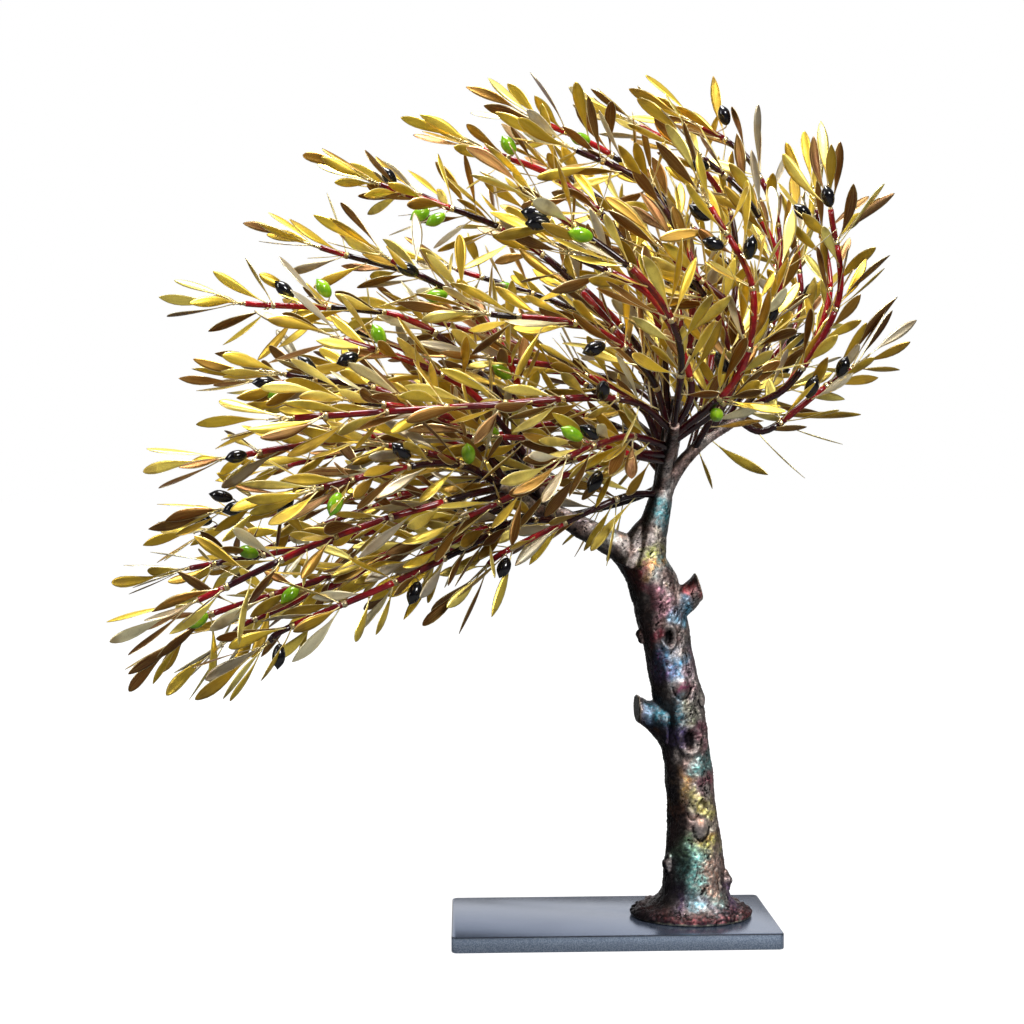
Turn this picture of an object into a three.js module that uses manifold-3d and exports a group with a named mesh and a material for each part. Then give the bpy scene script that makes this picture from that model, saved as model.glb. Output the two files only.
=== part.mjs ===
// A windswept olive tree sculpture: a cast bronze trunk on a steel plate, lacquered rods, brass leaves and olives.
// Millimetres, +Z up. The origin is the centre of the plate's underside. The crown sweeps towards -X.
import * as THREE from 'three';
import { mergeVertices } from 'three/addons/utils/BufferGeometryUtils.js';
import Module from 'manifold-3d';

const wasm = await Module();
wasm.setup();

// Plate and screws
const plateLength = 230;
const plateDepth = 104;
const plateHeight = 11;
const plateCorner = 4;
const touchGap = 0.3;
const screwRadius = 2.5;
const screwHeadRadius = 5;
const screwHeadEdge = 0.4;
const screwHoleRun = 1;
const screwSides = 12;
const screwSink = 0.5;
const screwLength = 22;
const screwSpacing = 34;
const footX = 57;
// The tree stands turned a little on its plate, round the upright axis of its foot
const treeTurn = -2 * Math.PI / 180;
const cornerSteps = 3;

// Trunk rings from the foot up: x, z, radius
const trunkRings = [
  [57.5, 11.3, 43], [57.5, 13.6, 43.8], [57.9, 16.6, 40], [58.6, 20, 32.5], [59.6, 24, 27], [60.1, 29, 24],
  [59.7, 38, 22.5], [59.8, 50, 21.1], [59.5, 64, 19.3], [59, 80, 17.9], [57.7, 95, 17.4],
  [56, 111, 17.3], [54.4, 126, 16.8], [52.4, 142, 16.8], [50.3, 157, 17], [47.5, 173, 17.6],
  [44, 189, 17.1], [41, 204, 16.9], [37.8, 219, 17.8], [34.2, 236, 17.8], [29.6, 250, 17.6],
  [23.5, 264, 16.4],
];
const uprightRings = 6;
// The foot is an ellipse: its depth as a share of its width, at its rim and where it is round again
const footDepth = { share: 0.79, rimHeight: 13.6, roundHeight: 29 };
const trunkSides = 16;
const barkDepth = 0.7;
const barkStartHeight = 20;

// Limbs: x, y, z, radius. The front and back ones are hidden by the leaves.
const limbs = {
  left: [[24, 0, 258, 14], [10, 0, 274, 11.4], [-8, 0, 284, 9], [-27, 1, 294, 7.6], [-42, 3, 304, 6],
    [-52, 5, 322, 4.8], [-60, 6, 342, 4.4], [-66, 6, 362, 4]],
  leftFront: [[-34, 1, 298, 5], [-52, -12, 303, 4.6], [-66, -28, 314, 4.2], [-80, -46, 322, 3.8]],
  leftBack: [[-40, 3, 302, 5], [-52, 20, 312, 4.6], [-62, 40, 326, 4.2], [-72, 62, 338, 3.8]],
  main: [[24, 0, 258, 15.5], [28, 0, 280, 12.4], [30.5, 0, 290, 10.8], [35, 0, 307, 9], [37.5, 0, 322, 7],
    [38, 1, 341, 5.2], [42, 3, 360, 4.7], [49, 5, 382, 4.2]],
  mainFront: [[37, 0, 318, 6], [38, -16, 336, 5], [40, -34, 350, 4.4], [40, -56, 362, 4]],
  mainBack: [[37, 0, 320, 6], [44, 18, 338, 5], [50, 40, 354, 4.4], [56, 64, 368, 4]],
  right: [[36, 0, 310, 7.5], [42, 0, 324, 6.2], [54, -2, 340, 4.8], [68, -3, 354, 4.3], [84, -4, 364, 4.1],
    [100, -4, 376, 3.8]],
  web: [[13, 0, 262, 12.5], [18, 0, 275, 12], [23, 0, 287, 8.5], [29, 0, 298, 5]],
};
const limbSides = 6;
const limbStepLength = 17;
const rootSpare = 0.4;

// Cut stubs: the direction of the cut face, then rings from inside the trunk to the cut: x, y, z, radius
const stubs = [
  { along: [0.96, 0, 0.285], rings: [[46, 0, 234, 12.5], [56.8, -2, 241.2, 10.2], [63.4, -3, 248.9, 8.8]] },
  { along: [-0.985, -0.17, 0], rings: [[37, 0, 149, 17], [26.5, -2, 155.4, 10.3], [18, -3, 161, 9.2]] },
];
const stubSides = 10;

// Ring-shaped knots round a hollow, on the front (side -1) or the back (side 1): x, z, width, height
const knots = [
  { x: 40, z: 213, wide: 9, tall: 16, side: -1 },
  { x: 55, z: 140, wide: 14, tall: 19, side: -1 },
  { x: 63, z: 93, wide: 9, tall: 12, side: -1 },
  { x: 54, z: 118, wide: 11, tall: 15, side: 1 },
];
const knotRimRadius = 1.3;
const knotRimShare = 0.28;
const knotHollowShare = 0.62;
const knotHollowDepth = 5;

// Low bosses on the bark: x, y, z, radius
const bosses = [[39.5, -9, 50, 5.5], [83, -6, 37, 5.5], [21, -4, 214, 5]];

// The crown was set out as sighted from this point, in front of its middle plane
const eye = { x: -67, z: 321, distance: 1113 };

// Rods: limb, share along it, then the bends and the tip as sighted from the front: x, z, depth
const rods = [
  ['right', 1, [132, 397, -12], [164, 455, -18], [158, 518, -22]],
  ['right', 0.89, [130, 396, 19], [157, 455, 26], [148, 518, 36]],
  ['right', 0.7, [112, 420, 26], [121, 500, 42], [104, 547, 47], [84, 567, 48], [66, 577, 48]],
  ['right', 0.6, [100, 415, -22], [122, 470, -30], [100, 524, -35], [67, 555, -36]],
  ['mainFront', 0.76, [92, 400, -74], [102, 462, -88], [72, 520, -92]],
  ['mainFront', 0.66, [84, 385, -54], [92, 440, -66], [46, 483, -72]],
  ['right', 0.84, [116, 403, 57], [136, 445, 88], [134, 492, 102]],
  ['mainBack', 0.79, [96, 395, 98], [128, 432, 128], [118, 480, 146]],
  ['main', 1, [66, 445, 8], [42, 520, 6], [0, 558, 8], [-48, 581, 10]],
  ['mainBack', 0.93, [84, 430, 78], [88, 508, 88], [58, 556, 88], [21, 578, 84]],
  ['main', 0.92, [58, 430, -20], [54, 488, -34], [24, 537, -40], [-24, 561, -42]],
  ['mainFront', 1, [50, 420, -112], [24, 468, -126], [-46, 521, -134]],
  ['mainBack', 0.64, [52, 420, 56], [34, 490, 64], [-32, 544, 62]],
  ['main', 0.84, [36, 430, -6], [8, 498, -14], [-37, 540, -18], [-91, 562, -20]],
  ['mainFront', 0.84, [58, 394, -72], [30, 455, -100], [-25, 485, -110]],
  ['mainFront', 0.68, [28, 400, -62], [-14, 434, -78], [-86, 444, -90]],
  ['mainFront', 0.9, [6, 383, -82], [-100, 378, -112], [-227, 370, -128]],
  ['mainFront', 0.48, [14, 342, -44], [-48, 323, -58], [-102, 299, -72]],
  ['mainFront', 0.6, [17, 356, -56], [-4, 352, -84], [-30, 342, -108]],
  ['main', 0.5, [8, 312, -20], [-50, 286, -34], [-80, 271, -40], [-88, 264, -42]],
  ['leftFront', 0.36, [-96, 281, -50], [-150, 254, -68], [-232, 219, -84], [-246, 209, -86]],
  ['left', 0.5, [-120, 284, -14], [-210, 245, -20], [-262, 222, -24], [-274, 212, -24]],
  ['leftFront', 0.9, [-110, 312, -66], [-200, 284, -94], [-297, 239, -112]],
  ['leftFront', 0.58, [-112, 291, -44], [-205, 255, -50], [-290, 228, -48], [-304, 216, -46]],
  ['leftFront', 1, [-108, 336, -74], [-150, 334, -100], [-207, 320, -126]],
  ['left', 0.74, [-118, 354, -8], [-190, 355, -22], [-272, 342, -34]],
  ['left', 0.6, [-112, 334, 6], [-195, 324, 4], [-273, 305, 2]],
  ['leftBack', 0.87, [-130, 318, 86], [-205, 310, 100], [-285, 291, 112]],
  ['leftBack', 0.55, [-125, 300, 48], [-215, 278, 54], [-303, 262, 58]],
  ['left', 0.86, [-98, 386, -30], [-138, 408, -52], [-192, 426, -66]],
  ['left', 0.81, [-112, 380, 20], [-170, 392, 30], [-252, 396, 36]],
  ['leftFront', 0.8, [-100, 355, -44], [-160, 388, -62], [-233, 401, -74]],
  ['left', 1, [-92, 400, 6], [-150, 442, -2], [-262, 452, -6]],
  ['left', 0.9, [-76, 405, 24], [-118, 462, 38], [-208, 492, 44]],
  ['left', 0.93, [-69, 401, -25], [-98, 448, -28], [-157, 483, -34]],
  ['main', 0.76, [16, 415, 22], [-62, 496, 30], [-165, 537, 34]],
  ['mainBack', 0.56, [20, 420, 52], [-56, 492, 70], [-135, 529, 78]],
  ['mainBack', 1, [0, 398, 112], [-100, 402, 140], [-212, 384, 154]],
  ['mainBack', 0.86, [28, 412, 100], [-34, 450, 122], [-110, 476, 134]],
  ['mainBack', 0.72, [70, 412, 72], [52, 462, 104], [-6, 512, 124]],
  ['main', 0.56, [6, 308, 30], [-85, 285, 54], [-205, 246, 78]],
  ['leftBack', 0.93, [-112, 322, 104], [-180, 303, 132], [-258, 272, 148]],
  ['leftBack', 0.75, [-108, 354, 74], [-165, 350, 94], [-232, 336, 106]],
  ['leftBack', 0.63, [-96, 374, 56], [-136, 412, 72], [-186, 434, 84]],
  ['mainBack', 0.38, [12, 345, 54], [-45, 335, 82], [-112, 316, 104]],
  ['left', 0.68, [-84, 356, -40], [-130, 374, -84], [-184, 382, -106]],
  ['right', 0.87, [112, 360, -7], [150, 388, -3], [172, 404, 0]],
];
const rodSides = 5;
const lineSteps = 60;
const rodStepLength = 52;
const rodRootRadius = 2.6;
const rodTipRadius = 2.1;
const wireLength = 16;
const wireRadius = 0.8;

// Leaves: in pairs at every second node of the rod and once on the terminal wire, which ends as a leaf.
// Spreads and rolls are in radians, and lengths shares of leafLength.
const nodeGap = 37;
const pairEvery = 2;
const bareShare = 0.14;
const leafLength = 46;
const leafThickness = 0.9;
const leafArch = 0.1;
const leafStations = [[0.3, 1.6], [0.68, 4.3], [1, 0]];
const petioleHalfWidth = 0.45;
const leafMaxRoll = 0.7;
const rodLeafSpread = [0.45, 1.15];
const wireLeafSpread = [0.3, 0.5];
const leafLengthRange = [0.8, 1.15];
const wirePairShare = 0.4;
const clearTurn = 0.4;
const clearTries = 8;
const firstSeed = 1000;
const seedStep = 77;
const leafClearance = 4.3;
const petioleClearance = 1.5;
const goldenTurn = 137.5 * Math.PI / 180;

// Olives, as sighted from the front: x, z. They hang from the nearest rod.
const oliveSpots = [
  [84, 592], [62, 548], [154, 526], [134, 515], [63, 515], [71, 492], [99, 490], [-55, 514], [-55, 505],
  [-158, 541], [-145, 475], [58, 467], [-233, 461], [142, 459], [114, 443], [70, 436], [132, 424], [-13, 417],
  [-188, 411], [-217, 407], [78, 409], [165, 405], [120, 401], [-248, 395], [143, 391], [0, 391], [-16, 359],
  [-150, 346], [-268, 342], [-12, 323], [-287, 320], [-101, 319], [-233, 307], [-270, 305], [-293, 297],
  [-77, 262], [-141, 244], [-238, 199], [-22, 567], [-73, 563], [-137, 511], [-127, 503], [-22, 499], [-76, 462],
  [-205, 462], [-125, 456], [-166, 429], [-78, 402], [-238, 388], [68, 360], [-29, 359], [-85, 358], [-102, 344],
  [-197, 307], [-260, 274], [-230, 243], [-296, 225],
];
const oliveEvery = 3;
const oliveLength = 17;
const oliveRadius = 4.8;
const oliveSides = 5;
// Outline of an olive from its stalk to its tip: shares of the radius and of the half length
const oliveProfile = [[0, -1], [0.75, -0.62], [1, 0.05], [0.62, 0.62], [0, 1]];
const oliveReach = 13;
const oliveForward = 0.7;
const oliveSwing = 0.8;
const oliveLean = 0.3;
const depthPenalty = 0.05;
const stalkRadius = 0.6;

const steel = { color: 0x7c8794, metalness: 0.7, roughness: 0.45 };
const screwSteel = { color: 0x9a9c9f, metalness: 1, roughness: 0.35 };
const bronze = { color: 0x5c5550, metalness: 0.85, roughness: 0.5 };
const brass = { color: 0xb08a35, metalness: 0.9, roughness: 0.4 };

// Seeded draws between 0 and 1
function drawFrom(seed) {
  let state = seed;
  return () => {
    state = (state * 16807) % 2147483647;
    return state / 2147483647;
  };
}

const between = ([low, high], share) => low + (high - low) * share;

// A spot as sighted from the eye, moved to its place at its depth
function sighted([x, z, depth]) {
  const scale = 1 + depth / eye.distance;
  return [eye.x + (x - eye.x) * scale, depth, eye.z + (z - eye.z) * scale];
}

// A smooth curve through rows of numbers, at t from 0 to rows.length - 1
function splineAt(rows, t) {
  const i = Math.min(Math.floor(t), rows.length - 2);
  const u = t - i;
  const start = rows[i];
  const end = rows[i + 1];
  return start.map((p1, k) => {
    const p2 = end[k];
    const p0 = i > 0 ? rows[i - 1][k] : 2 * p1 - p2;
    const p3 = i + 2 < rows.length ? rows[i + 2][k] : 2 * p2 - p1;
    const linear = (p2 - p0) * u;
    const square = (2 * p0 - 5 * p1 + 4 * p2 - p3) * u * u;
    const cube = (3 * p1 - p0 - 3 * p2 + p3) * u * u * u;
    return p1 + 0.5 * (linear + square + cube);
  });
}

const toVector = ([x, y, z]) => new THREE.Vector3(x, y, z);

// A closed tube through rings of { centre, radius }, each square to the tube's own line. A ring with flat is an
// ellipse of that half thickness, and a last ring of radius 0 is a point.
function ringTube(rings, sides, radiusAt = (ring) => ring.radius) {
  const positions = [];
  const depthAxis = new THREE.Vector3(0, 1, 0);
  const pointed = rings.at(-1).radius === 0;
  const open = pointed ? rings.slice(0, -1) : rings;
  open.forEach((ring, i) => {
    const before = rings[Math.max(i - 1, 0)].centre;
    const after = rings[Math.min(i + 1, rings.length - 1)].centre;
    const along = ring.along ?? after.clone().sub(before).normalize();
    const side = depthAxis.clone().cross(along).normalize();
    const other = along.clone().cross(side);
    for (let k = 0; k < sides; k++) {
      const angle = (2 * Math.PI * k) / sides;
      const radius = radiusAt(ring, angle);
      const point = ring.centre.clone();
      point.addScaledVector(side, radius * Math.cos(angle));
      point.addScaledVector(other, (ring.flat ?? radius * (ring.depthShare ?? 1)) * Math.sin(angle));
      positions.push(point);
    }
  });
  const triangles = [];
  for (let i = 0; i + 1 < open.length; i++) {
    for (let k = 0; k < sides; k++) {
      const a = i * sides + k;
      const b = i * sides + (k + 1) % sides;
      triangles.push([a, b, a + sides], [b, b + sides, a + sides]);
    }
  }
  const top = (open.length - 1) * sides;
  for (let k = 1; k + 1 < sides; k++) triangles.push([0, k + 1, k]);
  if (pointed) {
    positions.push(rings.at(-1).centre);
    for (let k = 0; k < sides; k++) triangles.push([top + k, top + (k + 1) % sides, top + sides]);
  } else {
    for (let k = 1; k + 1 < sides; k++) triangles.push([top, top + k, top + k + 1]);
  }
  return solidOf(positions, triangles);
}

function solidOf(positions, triangles) {
  const vertProperties = new Float32Array(positions.flatMap((p) => [p.x, p.y, p.z]));
  const triVerts = new Uint32Array(triangles.flat());
  return new wasm.Manifold(new wasm.Mesh({ numProp: 3, vertProperties, triVerts }));
}

function solidFromGeometry(geometry) {
  const bare = geometry.clone();
  bare.deleteAttribute('normal');
  bare.deleteAttribute('uv');
  const merged = mergeVertices(bare);
  const vertProperties = new Float32Array(merged.attributes.position.array);
  const triVerts = new Uint32Array(merged.index.array);
  return new wasm.Manifold(new wasm.Mesh({ numProp: 3, vertProperties, triVerts }));
}

const joined = (solids) => solids.reduce((whole, solid) => whole.add(solid));

// The largest piece of a solid, so that no loose scrap stays
function largest(solid) {
  return solid.decompose().reduce((best, piece) => (piece.volume() > best.volume() ? piece : best));
}

// Turns a geometry round the upright axis of the trunk's foot
function turnAtFoot(geometry, turn) {
  geometry.translate(-footX, 0, 0);
  geometry.rotateZ(turn);
  geometry.translate(footX, 0, 0);
}

function meshOf(name, solid, finish, turn = 0) {
  const { vertProperties, triVerts } = solid.getMesh();
  const geometry = new THREE.BufferGeometry();
  geometry.setAttribute('position', new THREE.BufferAttribute(vertProperties, 3));
  geometry.setIndex(new THREE.BufferAttribute(triVerts, 1));
  turnAtFoot(geometry, turn);
  geometry.computeVertexNormals();
  const mesh = new THREE.Mesh(geometry, new THREE.MeshStandardMaterial(finish));
  mesh.name = name;
  return mesh;
}

// Plate and screws
function buildPlate() {
  const outline = new THREE.Shape();
  const halfLength = plateLength / 2;
  const halfDepth = plateDepth / 2;
  const quarter = Math.PI / 2;
  outline.absarc(halfLength - plateCorner, halfDepth - plateCorner, plateCorner, 0, quarter);
  outline.absarc(-halfLength + plateCorner, halfDepth - plateCorner, plateCorner, quarter, 2 * quarter);
  outline.absarc(-halfLength + plateCorner, -halfDepth + plateCorner, plateCorner, 2 * quarter, 3 * quarter);
  outline.absarc(halfLength - plateCorner, -halfDepth + plateCorner, plateCorner, 3 * quarter, 4 * quarter);
  const bar = new THREE.ExtrudeGeometry(outline, { depth: plateHeight, bevelEnabled: false, curveSegments: cornerSteps });
  return screwPlaces().reduce((plate, x) => plate.subtract(buildScrew(x, touchGap)), solidFromGeometry(bar));
}

function screwPlaces() {
  return [footX - screwSpacing / 2, footX + screwSpacing / 2];
}

// A countersunk screw with its head down, or with a spare all round, the hole for it
function buildScrew(x, spare = 0, turn = 0) {
  const headHeight = screwHeadRadius - screwRadius;
  const headStart = spare > 0 ? -screwHoleRun : screwSink;
  const edgeTop = screwSink + screwHeadEdge + spare;
  const headRadius = screwHeadRadius + spare;
  const profile = [
    [0, headStart], [headRadius, headStart], [headRadius, edgeTop], [screwRadius + spare, edgeTop + headHeight],
    [screwRadius + spare, screwLength + spare], [0, screwLength + spare],
  ];
  const points = profile.map(([radius, height]) => new THREE.Vector2(radius, height));
  const turned = new THREE.LatheGeometry(points, screwSides);
  turned.rotateX(Math.PI / 2);
  turned.translate(x, 0, 0);
  turnAtFoot(turned, turn);
  return solidFromGeometry(turned);
}

// Trunk
function barkRelief(angle, height) {
  const ridges = Math.sin(5 * angle + 0.06 * height) + 0.7 * Math.sin(9 * angle - 0.17 * height + 1);
  const lumps = 0.8 * Math.sin(3 * angle + 0.13 * height) + 0.5 * Math.sin(0.31 * height + 2 * angle);
  return 0.4 * (ridges + lumps);
}

function buildTrunkStem() {
  const rings = trunkRings.map(([x, z, radius]) => ({ centre: new THREE.Vector3(x, 0, z), radius }));
  rings.slice(0, uprightRings).forEach((ring) => {
    const risen = (ring.centre.z - footDepth.rimHeight) / (footDepth.roundHeight - footDepth.rimHeight);
    ring.along = new THREE.Vector3(0, 0, 1);
    ring.depthShare = between([footDepth.share, 1], Math.max(risen, 0));
  });
  return ringTube(rings, trunkSides, ({ centre, radius }, angle) => {
    const relief = centre.z > barkStartHeight ? barkDepth * barkRelief(angle, centre.z) : 0;
    return radius + relief;
  });
}

// A limb's rings, fatter by spare
function limbRings(name, spare = 0) {
  const rows = limbs[name];
  const length = rows.slice(1).reduce((sum, row, i) => sum + toVector(row).distanceTo(toVector(rows[i])), 0);
  const steps = Math.round(length / limbStepLength);
  return Array.from({ length: steps + 1 }, (_, i) => {
    const row = splineAt(rows, (rows.length - 1) * i / steps);
    return { centre: toVector(row), radius: row[3] + spare };
  });
}

function buildKnot({ x, z, wide, tall, side }) {
  const row = trunkRings.findIndex((ring) => ring[1] > z);
  const below = trunkRings[row - 1];
  const above = trunkRings[row];
  const share = (z - below[1]) / (above[1] - below[1]);
  const centreX = below[0] + (above[0] - below[0]) * share;
  const radius = below[2] + (above[2] - below[2]) * share;
  const turn = Math.asin((x - centreX) / radius) * -side;
  const rim = new THREE.TorusGeometry(1, knotRimShare, 3, 8);
  const hollow = new THREE.SphereGeometry(knotHollowShare, 6, 4);
  for (const shape of [rim, hollow]) {
    const depth = shape === rim ? knotRimRadius / knotRimShare : knotHollowDepth;
    shape.scale(wide / 2, tall / 2, depth);
    shape.rotateX(Math.PI / 2);
    shape.translate(0, side * radius, 0);
    shape.rotateZ(turn);
    shape.translate(centreX, 0, z);
  }
  return { rim: solidFromGeometry(rim), hollow: solidFromGeometry(hollow) };
}

function buildTrunk() {
  const limbTubes = Object.keys(limbs).map((name) => ringTube(limbRings(name), limbSides));
  const stubCones = stubs.map(({ along, rings }) => {
    const direction = toVector(along).normalize();
    return ringTube(rings.map((row) => ({ centre: toVector(row), along: direction, radius: row[3] })), stubSides);
  });
  const bossBalls = bosses.map(([x, y, z, radius]) => {
    const ball = new THREE.SphereGeometry(radius, 6, 4);
    ball.translate(x, y, z);
    return solidFromGeometry(ball);
  });
  const knotSolids = knots.map(buildKnot);
  let trunk = joined([buildTrunkStem(), ...limbTubes, ...stubCones, ...bossBalls]);
  trunk = joined([trunk, ...knotSolids.map(({ rim }) => rim)]);
  for (const { hollow } of knotSolids) trunk = trunk.subtract(hollow);
  for (const x of screwPlaces()) trunk = trunk.subtract(buildScrew(x, touchGap, -treeTurn));
  return largest(trunk);
}

// The space that the trunk and its limbs need, which the rods' roots are cut to
function buildTrunkSpace() {
  const tubes = Object.keys(limbs).map((name) => ringTube(limbRings(name, rootSpare), limbSides));
  return joined(tubes);
}

// Each rod's line: points with the distance from its root, then the straight terminal wire
function traceRod([limb, share, ...spots]) {
  const limbRows = limbs[limb];
  const root = splineAt(limbRows, (limbRows.length - 1) * share).slice(0, 3);
  const rows = [root, ...spots.map(sighted)];
  const points = Array.from({ length: lineSteps + 1 }, (_, i) => {
    return toVector(splineAt(rows, spots.length * i / lineSteps));
  });
  const distances = [0];
  for (let i = 1; i <= lineSteps; i++) {
    distances.push(distances[i - 1] + points[i].distanceTo(points[i - 1]));
  }
  const length = distances[lineSteps];
  const tipDirection = points[lineSteps].clone().sub(points[lineSteps - 1]).normalize();
  points.push(points[lineSteps].clone().addScaledVector(tipDirection, wireLength));
  distances.push(length + wireLength);
  return { points, distances, length };
}

// The place and direction at a distance along a rod's line
function alongRod({ points, distances }, distance) {
  let i = distances.findIndex((d) => d > distance);
  i = i < 1 ? points.length - 1 : i;
  const share = (distance - distances[i - 1]) / (distances[i] - distances[i - 1]);
  const place = points[i - 1].clone().lerp(points[i], share);
  const direction = points[i].clone().sub(points[i - 1]).normalize();
  return { place, direction };
}

function rodRadius(line, distance) {
  if (distance > line.length + 1) return wireRadius;
  return rodRootRadius + (rodTipRadius - rodRootRadius) * (distance / line.length);
}

function buildRod(line) {
  const steps = Math.round(line.length / rodStepLength);
  const stops = Array.from({ length: steps + 1 }, (_, i) => line.length * i / steps);
  stops.push(line.length + wireLength);
  const rings = stops.map((distance) => {
    return { centre: alongRod(line, distance).place, radius: rodRadius(line, distance) };
  });
  const { place, direction } = alongRod(line, line.length + wireLength);
  const along = direction;
  for (const [share, halfWidth] of leafStations) {
    const centre = place.clone().addScaledVector(direction, leafLength * share);
    rings.push({ centre, along, radius: halfWidth, flat: leafThickness / 2 });
  }
  return ringTube(rings, rodSides);
}

// A leaf's frame: where it starts, its direction, the way it arches and its width direction
function leafFrame(line, distance, azimuth, spread, roll, length) {
  const { place, direction } = alongRod(line, distance);
  const side = direction.clone().cross(new THREE.Vector3(0, 1, 0)).normalize();
  const other = direction.clone().cross(side);
  const outward = side.multiplyScalar(Math.cos(azimuth)).addScaledVector(other, Math.sin(azimuth));
  const axis = direction.clone().multiplyScalar(Math.cos(spread)).addScaledVector(outward, Math.sin(spread));
  const bend = direction.clone().addScaledVector(axis, -direction.dot(axis)).normalize();
  const flat = axis.clone().cross(bend);
  const width = flat.clone().multiplyScalar(Math.cos(roll)).addScaledVector(bend, Math.sin(roll));
  const face = width.clone().cross(axis);
  return { place, axis, bend, width, face, length };
}

function leafPoint({ place, axis, bend, length }, share) {
  const point = place.clone().addScaledVector(axis, length * share);
  return point.addScaledVector(bend, length * leafArch * share * share);
}

// The three corners of a leaf's section: both edges and the ridge between them
function leafSection(centre, width, face, halfWidth) {
  const under = centre.clone().addScaledVector(face, -leafThickness / 2);
  const edges = [-halfWidth, halfWidth].map((across) => under.clone().addScaledVector(width, across));
  return [...edges, centre.clone().addScaledVector(face, leafThickness / 2)];
}

// Two opposite leaves in one solid, from the tip of one through the rod to the tip of the other
function buildPair([first, second]) {
  const stations = leafStations.slice(0, -1);
  const sectionsOf = (frame, sign) => stations.map(([share, halfWidth]) => {
    const width = frame.width.clone().multiplyScalar(sign);
    return leafSection(leafPoint(frame, share), width, frame.face, halfWidth);
  });
  const middleWidth = second.width.clone().sub(first.width).normalize();
  const middleFace = first.face.clone().add(second.face);
  middleFace.addScaledVector(middleWidth, -middleFace.dot(middleWidth)).normalize();
  const middle = leafSection(first.place, middleWidth, middleFace, petioleHalfWidth);
  const sections = [...sectionsOf(first, -1).reverse(), middle, ...sectionsOf(second, 1)];
  const positions = sections.flat();
  const triangles = [];
  const last = 3 * (sections.length - 1);
  for (let a = 0; a < last; a += 3) {
    for (let k = 0; k < 3; k++) {
      const next = (k + 1) % 3;
      triangles.push([a + k, a + 3 + k, a + next], [a + next, a + 3 + k, a + 3 + next]);
    }
  }
  const firstTip = positions.push(leafPoint(first, 1)) - 1;
  const secondTip = positions.push(leafPoint(second, 1)) - 1;
  for (let k = 0; k < 3; k++) {
    const next = (k + 1) % 3;
    triangles.push([firstTip, k, next], [last + k, secondTip, last + next]);
  }
  return solidOf(positions, triangles);
}

// Spheres that stand for everything placed so far, to keep the sprays clear of each other
const occupied = [];

function occupy(owner, place, radius) {
  occupied.push({ owner, x: place.x, y: place.y, z: place.z, radius });
}

function isClear(owner, spheres) {
  return spheres.every(({ place, radius }) => occupied.every((other) => {
    if (other.owner === owner) return true;
    const reach = radius + other.radius + touchGap;
    const dx = place.x - other.x;
    const dy = place.y - other.y;
    const dz = place.z - other.z;
    return dx * dx + dy * dy + dz * dz > reach * reach;
  }));
}

function leafSpheres(frame) {
  return [0.25, 0.4, 0.5, 0.6, 0.7, 0.8, 0.9, 1].map((share) => {
    const radius = share < 0.3 || share > 0.95 ? petioleClearance : leafClearance;
    return { place: leafPoint(frame, share), radius };
  });
}

// The pairs of leaves of one spray: each turns round its rod until it is clear, or is left out
function placePairs(owner, line, draw) {
  const bare = line.length * bareShare;
  const count = Math.floor((line.length - bare) / nodeGap);
  const stops = Array.from({ length: count }, (_, i) => bare + (i + 0.5) * (line.length - bare) / count);
  stops.push(line.length + wireLength * wirePairShare);
  const pairs = [];
  stops.forEach((distance, i) => {
    const onWire = i === count;
    const azimuth = i * goldenTurn + draw();
    const sides = [0, Math.PI].map((opposite) => {
      const spread = between(onWire ? wireLeafSpread : rodLeafSpread, draw());
      const roll = between([-leafMaxRoll, leafMaxRoll], draw());
      const length = leafLength * between(leafLengthRange, draw());
      return { opposite, spread, roll, length };
    });
    if (!onWire && (count - 1 - i) % pairEvery !== 0) return;
    for (let turn = 0; turn < clearTries; turn++) {
      const pair = sides.map(({ opposite, spread, roll, length }) => {
        return leafFrame(line, distance, azimuth + opposite + turn * clearTurn, spread, roll, length);
      });
      const spheres = pair.flatMap(leafSpheres);
      if (isClear(owner, spheres)) {
        spheres.forEach(({ place, radius }) => occupy(owner, place, radius));
        pairs.push(pair);
        break;
      }
    }
  });
  return pairs;
}

// The rod that an olive hangs from is the one whose line is sighted nearest to the olive's spot
function placeOlive([x, z], lines) {
  let best = { gap: Infinity };
  lines.forEach((line, owner) => {
    for (let distance = line.length * 0.3; distance < line.length; distance += 6) {
      const { place, direction } = alongRod(line, distance);
      const scale = 1 + place.y / eye.distance;
      const dx = eye.x + (x - eye.x) * scale - place.x;
      const dz = eye.z + (z - eye.z) * scale - place.z;
      const gap = Math.hypot(dx, dz) + depthPenalty * place.y;
      if (gap < best.gap) best = { gap, owner, place, direction, dx, dz };
    }
  });
  const { owner, place, direction, dx, dz } = best;
  const shrink = Math.min(1, oliveReach / Math.hypot(dx, dz));
  const centre = place.clone().add(new THREE.Vector3(dx * shrink, -oliveReach * oliveForward, dz * shrink));
  const axis = centre.clone().sub(place).normalize().addScaledVector(direction, oliveSwing);
  axis.y *= oliveLean;
  axis.normalize();
  return { owner, root: place, centre, axis };
}

function buildOlive({ root, centre, axis }) {
  const half = oliveLength / 2;
  const outline = oliveProfile.map(([across, up]) => new THREE.Vector2(across * oliveRadius, up * half));
  const body = new THREE.LatheGeometry(outline, oliveSides);
  const turn = new THREE.Quaternion().setFromUnitVectors(new THREE.Vector3(0, 1, 0), axis);
  body.applyQuaternion(turn);
  body.translate(centre.x, centre.y, centre.z);
  const neck = centre.clone().addScaledVector(axis, -half * 0.6);
  const stalk = ringTube([{ centre: root, radius: stalkRadius }, { centre: neck, radius: stalkRadius }], 3);
  return joined([solidFromGeometry(body), stalk]);
}

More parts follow.
